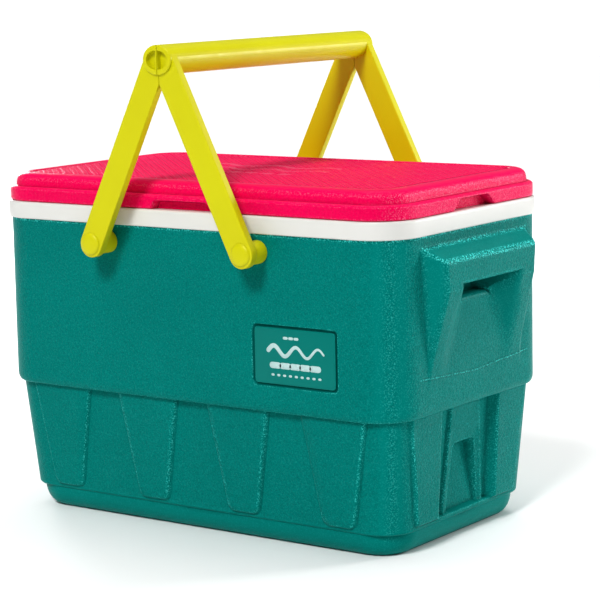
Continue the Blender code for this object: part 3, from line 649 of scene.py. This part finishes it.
def shell_grain_wear_and_painted_light(rows):
    """How pebbled each point of the shell is, how much painted highlight and edge wear it gets, and how much
    painted shade.
    """
    normals = face_normals(rows)
    upright = np.maximum(np.abs(normals[..., 0]), np.abs(normals[..., 1]))
    grain = ramp(upright - 0.86, 0.1) * ramp(rows[..., 2] - BAND_LOW, 4.0)
    in_corner = ramp(0.86 - upright, 0.1) * ramp(0.3 - np.abs(normals[..., 2]), 0.1)
    grain = np.maximum(grain, in_corner * ramp(rows[..., 2] - BAND_LOW, 4.0))
    to_end = ramp(np.abs(normals[..., 0]) - 0.6, 0.3)
    # Faces tilted upwards near the top of the hood get a painted highlight line.
    tilted = ramp(normals[..., 2] - 0.08, 0.10) * ramp(0.84 - normals[..., 2], 0.08)
    crest = tilted * ramp(rows[..., 2] - 268, 4.0)
    curve = bend(rows, normals)
    on_end = np.abs(rows[..., 0]) > BODY_X - 4
    off_seam = (rows[..., 2] - seam_height(rows[..., 1])) / 0.9
    seam = np.exp(-off_seam ** 2) * (np.abs(rows[..., 1]) < SEAM_HALF) * on_end
    edge = ramp(curve - 0.07, 0.25) * (rows[..., 2] > TEETH_BOTTOM - 1)
    # Painted highlights: a little everywhere, more on the ends, the corners, the crest, convex edges and the
    # parting ridge; on the convex edges this also stands for real edge wear.
    wear_and_highlight = 0.06 + 0.07 * to_end * grain + 0.12 * in_corner + crest + 0.35 * edge + 0.45 * seam
    # Painted shade in concave folds and over the badge recess, where the painted highlights are taken out.
    on_front = (rows[..., 1] < -100) * (rows[..., 0] > 0)
    recess = badge_recess(rows[..., 0], rows[..., 2]) / BADGE_DEPTH * on_front
    painted_shade = np.maximum(ramp(-curve - 0.05, 0.25), 1.8 * recess)
    return np.maximum(grain, crest), np.clip(wear_and_highlight - recess, 0, 1), painted_shade


def make_shell(surface):
    rows = shell_rows()
    points, faces = closed_rows(rows)
    shell = make_mesh("chest_shell", points, faces, surface, 50)
    add_grain_and_painted_light(shell, *shell_grain_wear_and_painted_light(rows))
    settle(shell, "chest", "shell", "outer_shell")


# Badge -----------------------------------------------------------------------------------------

def rounded_outline(half_x, half_z, radius, steps=8):
    angles = np.radians(np.linspace(0, 90, steps + 1))
    points = []
    for turn in range(4):
        middle = np.array([math.copysign(half_x - radius, (1, -1, -1, 1)[turn]),
                           math.copysign(half_z - radius, (1, 1, -1, -1)[turn])])
        quarter = angles + turn * math.pi / 2
        points.append(middle + radius * np.column_stack([np.cos(quarter), np.sin(quarter)]))
    return np.concatenate(points)


def outline_normals(outline):
    """Mitred outward normals of a counter-clockwise outline."""
    before, after = outline - np.roll(outline, 1, axis=0), np.roll(outline, -1, axis=0) - outline
    first = np.column_stack([before[:, 1], -before[:, 0]]) / np.linalg.norm(before, axis=1)[:, None]
    second = np.column_stack([after[:, 1], -after[:, 0]]) / np.linalg.norm(after, axis=1)[:, None]
    middle = first + second
    return middle / np.maximum(np.sum(middle * first, axis=1), 0.5)[:, None]


def plate(outline, low, high, edge_low, edge_high, steps=4):
    """Solid between two Y planes with rounded edges, from a counter-clockwise outline in X and Z."""
    out = outline_normals(outline)
    levels = []
    for angle in np.linspace(0, math.pi / 2, steps + 1):
        levels.append((low + edge_low * (1 - math.cos(angle)), edge_low * (1 - math.sin(angle))))
    for angle in np.linspace(math.pi / 2, 0, steps + 1):
        levels.append((high - edge_high * (1 - math.cos(angle)), edge_high * (1 - math.sin(angle))))
    rows = []
    for y, in_by in levels:
        flat = outline - out * in_by
        rows.append(np.column_stack([flat[:, 0], np.full(len(flat), y), flat[:, 1]]))
    return closed_rows(np.array(rows)[:, ::-1])


def ribbon(centre, half_width, taper=0.0):
    """Outline of a stroke along a line of (x, z) points, with round ends."""
    centre = np.asarray(centre, float)
    along = np.gradient(centre, axis=0)
    along /= np.linalg.norm(along, axis=1)[:, None]
    across = np.column_stack([-along[:, 1], along[:, 0]])
    width = half_width * (1 - taper * np.linspace(0, 1, len(centre)))[:, None]
    left, right = centre + across * width, centre - across * width
    caps = []
    ends = ((centre[-1], along[-1], width[-1, 0]), (centre[0], -along[0], width[0, 0]))
    for middle, direction, size in ends:
        start = math.atan2(direction[1], direction[0]) - math.pi / 2
        angles = start + np.linspace(0, math.pi, 8)[1:-1]
        caps.append(middle + size * np.column_stack([np.cos(angles), np.sin(angles)]))
    return np.concatenate([right, caps[0], left[::-1], caps[1]])


def make_badge(surface, print_surface):
    outline = rounded_outline(BADGE_HALF_X, BADGE_HALF_Z, 3.6) + (BADGE_X, BADGE_Z)
    points, faces = plate(outline, BADGE_LOW[1], BADGE_HIGH[1], 0.7, 0.1)
    badge = make_mesh("badge", points, faces, surface, 45)
    settle(badge, "chest", "badge", "badge_plate")
    strokes = []
    turns = np.linspace(0, 1, 60)
    wave = np.column_stack([-31 + 62 * turns, 5.2 + 4.6 * np.sin(turns * 5 * math.pi)])
    strokes.append(ribbon(wave, 2.3, 0.55))
    for number in range(5):
        low = -27 + 11.2 * number
        strokes.append(ribbon([(low, -8.6), (low + 7.2, -8.6)], 3.0))
    for number in range(9):
        low = -27 + 6.6 * number
        strokes.append(ribbon([(low, -17.6), (low + 1.4, -17.6)], 1.1))
    for low in (-13, -7, -1):
        strokes.append(ribbon([(low, 17.6), (low + 3.0, 17.6)], 1.3))
    points, faces = [], []
    face_y = BADGE_LOW[1]
    for stroke in strokes:
        more, sides = plate(stroke + (BADGE_X + 1.5, BADGE_Z), face_y - 0.1, face_y + 0.3, 0.06, 0.0, 1)
        faces += [[corner + len(points) for corner in face] for face in sides]
        points += more.tolist()
    marks = make_mesh("badge_marks", points, faces, print_surface, 60)
    settle(marks, "chest", "badge")


# Liner and lid ---------------------------------------------------------------------------------

def tub_section(z, grow=0.0):
    share = (z - TUB_FLOOR) / (RIM_TOP - TUB_FLOOR)
    return tuple(between(low, high, share) + grow for low, high in zip(TUB_LOW, TUB_TOP))


def make_liner(surface):
    rim = (RIM_X, RIM_Y, RIM_R)
    under = RIM_TOP - TUB_WALL - 1
    floor = TUB_FLOOR - TUB_WALL
    rows = [(floor, *inset(tub_section(TUB_FLOOR, TUB_WALL), TUB_FILLET)),
            (floor + 4, *inset(tub_section(TUB_FLOOR, TUB_WALL), 3)),
            (TUB_FLOOR + TUB_FILLET, *tub_section(TUB_FLOOR + TUB_FILLET, TUB_WALL)),
            (under, *tub_section(under, TUB_WALL)),
            (under, *inset(rim, RIM_SKIRT)),
            (RIM_LOW + 0.1, *inset(rim, RIM_SKIRT)),
            (RIM_LOW, *inset(rim, RIM_SKIRT - 0.3))]
    for angle in np.radians(np.linspace(0, 90, 5)):
        rows.append((RIM_LOW + 1.5 * (1 - math.cos(angle)), *inset(rim, 1.5 * (1 - math.sin(angle)))))
    rows.append((RIM_LOW + 8, *rim))
    for angle in np.radians(np.linspace(0, 90, 6)):
        rows.append((RIM_TOP - 2.4 * (1 - math.sin(angle)), *inset(rim, 2.4 * (1 - math.cos(angle)))))
    edge = tub_section(RIM_TOP)
    for angle in np.radians(np.linspace(0, 90, 5)):
        rows.append((RIM_TOP - 2 * (1 - math.cos(angle)), *inset(edge, -2 * (1 - math.sin(angle)))))
    rows.append((200, *tub_section(200)))
    for angle in np.radians(np.linspace(0, 90, 7)):
        z = TUB_FLOOR + TUB_FILLET * (1 - math.sin(angle))
        rows.append((z, *inset(tub_section(z), TUB_FILLET * (1 - math.cos(angle)))))
    points, faces = closed_rows(ring_rows(rows))
    settle(make_mesh("tub_and_rim", points, faces, surface, 45), "chest", "liner", "inner_liner")


def notch(places, z, sizes):
    """How deep a finger notch cuts in, from 0 to 1."""
    low_half, top_half, top = sizes
    share = (z - LID_LOW) / (top - LID_LOW)
    side = between(low_half, top_half, share) - np.abs(places)
    return ramp(round_inside(side, top - z, 2.5) + 0.5, 1.8)


def lid_row(z, in_by):
    """One ring of the lid, in by this much, with the notches cut into its lower edge."""
    base = (LID_X, LID_Y, LID_R)
    points, normals = ring(*inset(base, in_by), LID_SIDES, LID_ENDS)
    to_end = np.abs(normals[:, 0]) > np.abs(normals[:, 1])
    straight = np.max(np.abs(normals), axis=1) > 0.999
    cut = np.where(to_end, notch(points[:, 1], z, END_NOTCH), notch(points[:, 0], z, SIDE_NOTCH)) * straight
    if z > LID_STEP:
        cut = 0 * cut
    move = np.maximum(NOTCH_DEPTH * cut - in_by, 0)
    moved = points - normals * move[:, None]
    return np.column_stack([moved, np.full(len(moved), float(z))])


LID_SIDES = graded(-196.4, 196.4, 7.0, (-34.5, 34.5), (0.5, 1.4, 2.4, 3.6)) / 196.4
LID_ENDS = graded(-97.8, 97.8, 5.0, (-36, -30, -24, 24, 30, 36), (0.5, 1.4, 2.4)) / 97.8


def lid_profile():
    """(height, in by) from the lid's ceiling, round its lower edge and up to the border of its top."""
    profile = [(LID_TOP - 3.4, 17.0), (LID_STEP, 14.8), (LID_LOW, 14.7), (LID_LOW, 9.3), (LID_LOW, 1.6)]
    profile += [(LID_LOW + 0.5, 0.5), (LID_LOW + 1.5, 0.0)]
    profile += [(z, 0.0) for z in np.arange(LID_LOW + 2.6, 321, 1.2)]
    profile += [(z, 0.0) for z in np.arange(321.4, 326.6, 0.5)]
    profile += [(327.2, 0.5), (328.1, 1.3), (328.7, 2.4), (329.0, 3.7), (328.9, 4.8), (329.2, 5.5)]
    profile += [(330.2, 5.9), (332.0, 6.1), (334.0, 6.4), (336.0, 6.9), (337.8, 7.8), (339.2, 9.0)]
    profile += [(340.3, 10.6)]
    profile += [(341.1, 12.6), (341.6, 15.0), (LID_TOP, 17.6), (LID_TOP, FIELD_IN - 1.0)]
    profile += [(LID_TOP - 0.4, FIELD_IN - 0.3), (LID_TOP - 1.2, FIELD_IN), (LID_TOP - 2.5, FIELD_IN)]
    return profile


def weave_height(x, y):
    """Basket weave: each strand rises over one crossing and dips under the next."""
    u, v = x / WEAVE_PITCH, y / WEAVE_PITCH
    column, row = np.floor(u + 1e-6), np.floor(v + 1e-6)
    over = (column + row) % 2 == 0
    across_x, across_y = u - column - 0.5, v - row - 0.5
    along, across = np.where(over, across_x, across_y), np.where(over, across_y, across_x)
    crown = np.maximum(1 - (np.abs(across) / 0.5) ** 3.0, 0)
    return (0.25 + 0.75 * np.cos(math.pi * along * 0.92)) * crown


def emblem_inside(x, y):
    """Distance inside plain raised waves and bars in the middle of the lid."""
    inside = np.full(x.shape, -99.0)
    for middle_y, low, high, swing, width in ((26, -92, 72, 8.0, 4.2), (-4, -66, 76, 7.0, 3.6)):
        phase = (x - low) / (high - low) * 5 * math.pi
        off = np.abs(y - middle_y - swing * np.sin(phase)) * 0.82
        ends = np.minimum(x - low, high - x)
        inside = np.maximum(inside, np.minimum(width - off, ends))
    for start in range(-40, 60, 20):
        inside = np.maximum(inside, inside_box(x - start - 7, y + 36, 7.5, 6.0, 4.0))
    return inside


def weave_sheet():
    """Closed slab under the border, with the weave and the emblem on top."""
    half_x, half_y = LID_X - FIELD_IN + 1.0, LID_Y - FIELD_IN + 1.0
    step = WEAVE_PITCH / WEAVE_STEPS
    xs = np.arange(-math.ceil(half_x / step), math.ceil(half_x / step) + 1) * step
    ys = np.arange(-math.ceil(half_y / step), math.ceil(half_y / step) + 1) * step
    x, y = np.meshgrid(xs, ys)
    border = inside_box(x, y, half_x - 1.5, half_y - 1.5, LID_R - FIELD_IN)
    z = LID_TOP - 1.3 + WEAVE_RISE * weave_height(x, y) * ramp(border - 1.5, 3.0)
    raised = ramp(emblem_inside(x, y) + 0.6, 2.2)
    z = between(z, LID_TOP, raised)
    z = np.where(border < -0.6, LID_TOP - 2.2, z)
    rows, columns = z.shape
    top = np.stack([x, y, z], axis=-1).reshape(-1, 3)
    faces = grid_faces(rows, columns, wrap=False).tolist()
    edge = list(range(columns)) + [r * columns + columns - 1 for r in range(1, rows)]
    edge += [(rows - 1) * columns + c for c in range(columns - 2, -1, -1)]
    edge += [r * columns for r in range(rows - 2, 0, -1)]
    bottom = top[sorted(edge)]
    bottom[:, 2] = LID_TOP - 2.9
    below = {corner: len(top) + number for number, corner in enumerate(sorted(edge))}
    faces += [[b, a, below[a], below[b]] for a, b in zip(edge, edge[1:] + edge[:1])]
    faces.append([below[corner] for corner in reversed(edge)])
    return np.vstack([top, bottom]), faces


def make_lid(surface):
    rows = np.array([lid_row(z, in_by) for z, in_by in lid_profile()])
    points, faces = closed_rows(rows)
    cover = make_mesh("lid_shell", points, faces, surface, 50)
    normals = face_normals(rows)
    grain = ramp(0.75 - np.abs(normals[..., 2]), 0.3) * ramp(340 - rows[..., 2], 4.0)
    # Painted highlights on the lid's ends, the shoulder of its top and its convex edges; painted shade in its
    # concave folds.
    to_end = ramp(np.abs(normals[..., 0]) - 0.5, 0.3)
    shoulder = ramp(normals[..., 2] - 0.2, 0.2) * ramp(0.9 - normals[..., 2], 0.2) * (rows[..., 2] > LID_STEP)
    curve = bend(rows, normals)
    wear_and_highlight = 0.03 + (0.25 * to_end + 0.35 * shoulder) * grain + 0.3 * ramp(curve - 0.1, 0.4)
    add_grain_and_painted_light(cover, grain, np.minimum(wear_and_highlight, 1), 0.5 * ramp(-curve - 0.06, 0.3))
    settle(cover, "lid", "lid", "lid_cover")
    points, faces = weave_sheet()
    weave = make_mesh("lid_weave", points, faces, surface, 60)
    # Painted highlight on the crowns of the weave and painted shade in its valleys.
    depth = LID_TOP - points[:, 2]
    add_grain_and_painted_light(weave, np.full(len(points), 0.1), 0.55 * ramp(0.45 - depth, 0.45), ramp(depth - 0.6, 0.8))
    settle(weave, "lid", "lid")


def make_pan(surface):
    base = (LID_X, LID_Y, LID_R)
    plug = (PLUG_X, PLUG_Y, PLUG_R)
    mouth = inset(base, 15.3)
    low, top = PAN_LOW[2], PAN_HIGH[2]
    rows = []
    for angle in np.radians(np.linspace(0, 90, 6)):
        rows.append((low + 4 * (1 - math.cos(angle)), *inset(plug, 4 * (1 - math.sin(angle)))))
    rows += [(LID_LOW - 1, *inset(plug, -0.9)), (LID_LOW, *inset(plug, -1.9))]
    rows += [(LID_LOW, *mouth), (top, *mouth), (top, *inset(plug, PAN_WALL))]
    rows.append((low + PAN_WALL + 3, *inset(plug, PAN_WALL)))
    rows.append((low + PAN_WALL, *inset(plug, PAN_WALL + 3)))
    points, faces = closed_rows(ring_rows(rows))
    settle(make_mesh("lid_tray", points, faces, surface, 45), "lid", "liner", "lid_pan")


# Bails and pivots ------------------------------------------------------------------------------

def arm_outline(side):
    """Counter-clockwise outline of an arm, from its round end at the pivot to the middle plane."""
    normal = np.array([math.cos(ARM_LEAN), math.sin(ARM_LEAN)])
    pivot = np.array([PIVOT_X, PIVOT_Z])
    start = math.atan2(-normal[1], -normal[0])
    angles = start + np.linspace(0, math.pi, 25)
    points = list(pivot + ARM_HALF * np.column_stack([np.cos(angles), np.sin(angles)]))
    reach = math.hypot(GRIP_X * normal[0], GRIP_HALF_Z * normal[1])
    touch = np.array([GRIP_X ** 2 * normal[0] / reach, GRIP_Z + GRIP_HALF_Z ** 2 * normal[1] / reach])
    points += [touch, (SPLIT, touch[1])]
    inner = pivot @ normal - ARM_HALF
    points.append((SPLIT, (inner - SPLIT * normal[0]) / normal[1]))
    outline = np.array([tuple(point) for point in points])
    return outline if side > 0 else outline[::-1] * (-1, 1)


def half_oval(side, half_x, half_z, start=SPLIT):
    """Counter-clockwise half of an oval round the grip's axis."""
    angles = np.linspace(-math.pi / 2, math.pi / 2, 33)
    flat = np.column_stack([start + (half_x - start) * np.cos(angles), GRIP_Z + half_z * np.sin(angles)])
    return flat if side > 0 else flat[::-1] * (-1, 1)


def make_bail(name, side, surface, body, node):
    points, faces = plate(half_oval(side, GRIP_X, GRIP_HALF_Z), -GRIP_END, GRIP_END, 1.3, 1.3)
    bail = make_mesh(name, points, faces, surface, 35)
    for end in (-1, 1):
        low, high = sorted((end * ARM_IN, end * ARM_OUT))
        points, faces = plate(arm_outline(side), low, high, 1.1, 1.1)
        boolean(bail, make_mesh("arm", points, faces, surface), "UNION")
    for end in (-1, 1):
        low, high = sorted((end * (GRIP_END - SOCKET_DEPTH), end * (GRIP_END + 5)))
        outline = half_oval(side, SOCKET_X, SOCKET_Z, SPLIT + 1.0)
        points, faces = plate(outline, low, high, 0.0, 0.0, 1)
        boolean(bail, make_mesh("socket", points, faces, surface), "DIFFERENCE")
        low, high = sorted((end * (ARM_IN - 5), end * (ARM_OUT + 5)))
        angles = np.linspace(0, 2 * math.pi, 33)[:-1]
        hole = np.column_stack([np.cos(angles), np.sin(angles)]) * ARM_BORE + (side * PIVOT_X, PIVOT_Z)
        points, faces = plate(hole, low, high, 0.0, 0.0, 1)
        boolean(bail, make_mesh("hole", points, faces, surface), "DIFFERENCE")
    bail.data.shade_smooth()
    bail.data.set_sharp_from_angle(angle=math.radians(35))
    settle(bail, body, "bail", node)


def turned(name, profile, x, z, surface, side_y, closed=False, steps=48):
    """Turned solid round the Y axis through (x, z), from (radius, y) points."""
    angles = np.linspace(0, 2 * math.pi, steps + 1)[:-1]
    rows = []
    for radius, y in profile:
        across, up = x + radius * np.cos(angles), z + radius * np.sin(angles)
        rows.append(np.column_stack([across, np.full(steps, y), up]))
    rows = np.array(rows)
    if side_y > 0:
        rows = rows[::-1]
    if closed:
        rows = np.concatenate([rows, rows[:1]])
        count = len(rows) - 1
        faces = grid_faces(len(rows), steps) % (count * steps)
        points, faces = rows[:-1].reshape(-1, 3), faces.tolist()
    else:
        points, faces = closed_rows(rows)
    made = make_mesh(name, points, faces, surface, 40)
    tidy = bmesh.new()
    tidy.from_mesh(made.data)
    bmesh.ops.recalc_face_normals(tidy, faces=tidy.faces)
    tidy.to_mesh(made.data)
    tidy.free()
    return made


def make_pivot(word, side_x, side_y, surface):
    x = side_x * PIVOT_X
    seat = ARM_OUT + GAP
    tip = abs(PIN_LOW[1])
    head = [(0.05, PIN_DOME)]
    for share in np.linspace(0.12, 1, 14):
        head.append((PIN_HEAD * share, PIN_DOME * (1 - share ** 3.2) ** 0.55))
    profile = [(radius, side_y * (seat + height)) for radius, height in head]
    profile += [(PIN_SHAFT, side_y * seat), (PIN_SHAFT, side_y * (tip + 0.8))]
    profile.append((PIN_SHAFT - 0.8, side_y * tip))
    pin = turned(f"knob_{word}", profile, x, PIVOT_Z, surface, side_y)
    settle(pin, "chest", "pin", f"pivot_pin_{word}")
    low, high = BOSS_LOW[1], BOSS_HIGH[1]
    ease = 0.9
    profile = [(BOSS_BORE, low), (BOSS_R, low), (BOSS_R, low + ease), (BOSS_R, high - ease),
               (BOSS_R - 0.25, high - 0.35), (BOSS_R - ease, high), (BOSS_BORE, high)]
    profile = [(radius, side_y * y) for radius, y in profile]
    boss = turned(f"boss_{word}", profile, x, PIVOT_Z, surface, side_y, closed=True)
    settle(boss, "chest", "pin", f"spacer_boss_{word}")


# Build -----------------------------------------------------------------------------------------

# After the two tones: the pale colour of the painted highlights and edge wear, specular tint, bump depth,
# roughness, specular level, then the strengths of the painted shade in folds and in the grain's valleys.
TEAL = grained_plastic("teal_polyethylene", (0.0, 0.205, 0.180), (0.0, 0.187, 0.165), (0.12, 0.88, 0.82),
                       (0.1, 1.0, 0.95), 0.00042, 0.36, 0.05, 0.4, 0.45)
PINK = grained_plastic("pink_polyethylene", (0.84, 0.0, 0.105), (0.78, 0.0, 0.092), (1.0, 0.36, 0.48),
                       (1.0, 0.4, 0.6), 0.00045, 0.34, 0.12, 1.0, 0.2)
WHITE = smooth_plastic("white_plastic", (0.70, 0.70, 0.67), (0.67, 0.67, 0.64), (1, 1, 1), 0.36)
YELLOW = smooth_plastic("yellow_plastic", (0.61, 0.59, 0.0), (0.58, 0.55, 0.0), (1.0, 1.0, 0.65), 0.42)
PLATE = smooth_plastic("badge_plastic", (0.0, 0.175, 0.150), (0.0, 0.165, 0.142), (0.2, 1.0, 0.95), 0.34)
INK = smooth_plastic("badge_print", (0.47, 0.64, 0.63), (0.43, 0.60, 0.59), (1, 1, 1), 0.5)
NYLON = smooth_plastic("grey_nylon", (0.30, 0.30, 0.30), (0.26, 0.26, 0.26), (1, 1, 1), 0.5)
FOAM = foam_material()

make_shell(TEAL)
make_badge(PLATE, INK)
make_liner(WHITE)
make_lid(PINK)
make_pan(WHITE)
make_bail("bail_left_piece", -1, YELLOW, "bail_left", "left_bail")
make_bail("bail_right_piece", 1, YELLOW, "bail_right", "right_bail")
for front, side_y in (("front", -1), ("back", 1)):
    for end, side_x in (("left", -1), ("right", 1)):
        make_pivot(f"{front}_{end}", side_x, side_y, YELLOW)

for name, surface in (("tub_insulation", FOAM), ("lid_insulation", FOAM)):
    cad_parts[name].data.materials.clear()
    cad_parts[name].data.materials.append(surface)
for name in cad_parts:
    if name.startswith("pin_retainer"):
        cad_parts[name].data.materials.clear()
        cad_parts[name].data.materials.append(NYLON)


FILL = 0.22


# Stage -----------------------------------------------------------------------------------------

def make_floor():
    nodes = Nodes("pale_floor")
    tone = nodes.mix(nodes.spread(nodes.noise(3, 2.0), 0.3, 0.7), (0.93, 0.93, 0.93), (0.92, 0.92, 0.92))
    rough = nodes.spread(nodes.noise(20, 2.0), 0.3, 0.7, 0.85, 0.9)
    surface = nodes.finish(tone, rough, nodes.bump(nodes.noise(200, 2.0), 0.00002, 0.2))
    size = 9000
    points = [(-size, -size, 0), (size, -size, 0), (size, size, 0), (-size, size, 0)]
    make_mesh("floor", points, [[0, 1, 2, 3]], surface)


def make_light(name, place, size, power, colour=(1, 1, 1)):
    light = bpy.data.lights.new(name, "AREA")
    light.shape = "DISK"
    light.size = size
    light.energy = power
    light.color = colour
    made = bpy.data.objects.new(name, light)
    made.location = place
    made.visible_camera = False
    aim = Vector((0, 0, 0.2)) - Vector(place)
    made.rotation_euler = aim.to_track_quat("-Z", "Y").to_euler()
    bpy.context.scene.collection.objects.link(made)


def make_sun(name, towards, strength, spread):
    """Even light along a direction, with soft shadows."""
    light = bpy.data.lights.new(name, "SUN")
    light.energy = strength
    light.angle = math.radians(spread)
    made = bpy.data.objects.new(name, light)
    made.rotation_euler = Vector(towards).to_track_quat("-Z", "Y").to_euler()
    bpy.context.scene.collection.objects.link(made)


def make_world():
    """White studio: a white backdrop, and softer light from it than the backdrop's own brightness."""
    world = bpy.data.worlds.new("studio")
    world.use_nodes = True
    tree = world.node_tree
    fill = tree.nodes["Background"]
    fill.inputs["Strength"].default_value = FILL
    fill.inputs["Color"].default_value = (1, 1, 1, 1)
    backdrop = tree.nodes.new("ShaderNodeBackground")
    backdrop.inputs["Strength"].default_value = 1.0
    backdrop.inputs["Color"].default_value = (1, 1, 1, 1)
    path = tree.nodes.new("ShaderNodeLightPath")
    mix = tree.nodes.new("ShaderNodeMixShader")
    tree.links.new(path.outputs["Is Camera Ray"], mix.inputs[0])
    tree.links.new(fill.outputs[0], mix.inputs[1])
    tree.links.new(backdrop.outputs[0], mix.inputs[2])
    tree.links.new(mix.outputs[0], tree.nodes["World Output"].inputs["Surface"])
    bpy.context.scene.world = world


def make_camera():
    """Camera at the front right corner, a little above the chest and slightly rolled."""
    azimuth, elevation, roll = (math.radians(angle) for angle in (36.645, 8.52, -1.331))
    target = Vector((-0.0184, 0, 0.2160))
    distance = 2.2422
    ahead = Vector((-math.sin(azimuth) * math.cos(elevation), math.cos(azimuth) * math.cos(elevation),
                    -math.sin(elevation)))
    right = Vector((math.cos(azimuth), math.sin(azimuth), 0))
    up = right.cross(ahead)
    turned_right = math.cos(roll) * right + math.sin(roll) * up
    turned_up = math.cos(roll) * up - math.sin(roll) * right
    lens = bpy.data.cameras.new("camera")
    lens.sensor_width = 36
    lens.lens = 134.109
    lens.shift_x, lens.shift_y = 0.0753, -0.0110
    lens.clip_end = 50
    camera = bpy.data.objects.new("camera", lens)
    turn = Matrix((turned_right, turned_up, -ahead)).transposed().to_4x4()
    camera.matrix_world = Matrix.Translation(target - ahead * distance) @ turn
    bpy.context.scene.collection.objects.link(camera)
    bpy.context.scene.camera = camera


make_floor()
make_world()
make_sun("key", (-0.13, 0.70, -0.68), 2.0, 16)
make_sun("overhead", (0.1, -0.2, -1.0), 1.0, 50)
make_light("back_right", (1.6, 1.9, 0.85), 0.7, 30)
make_light("back_left", (-2.2, 1.5, 0.7), 0.7, 22)
make_camera()
bpy.context.scene.view_settings.view_transform = "Standard"
bpy.context.scene.view_settings.look = "Medium High Contrast"
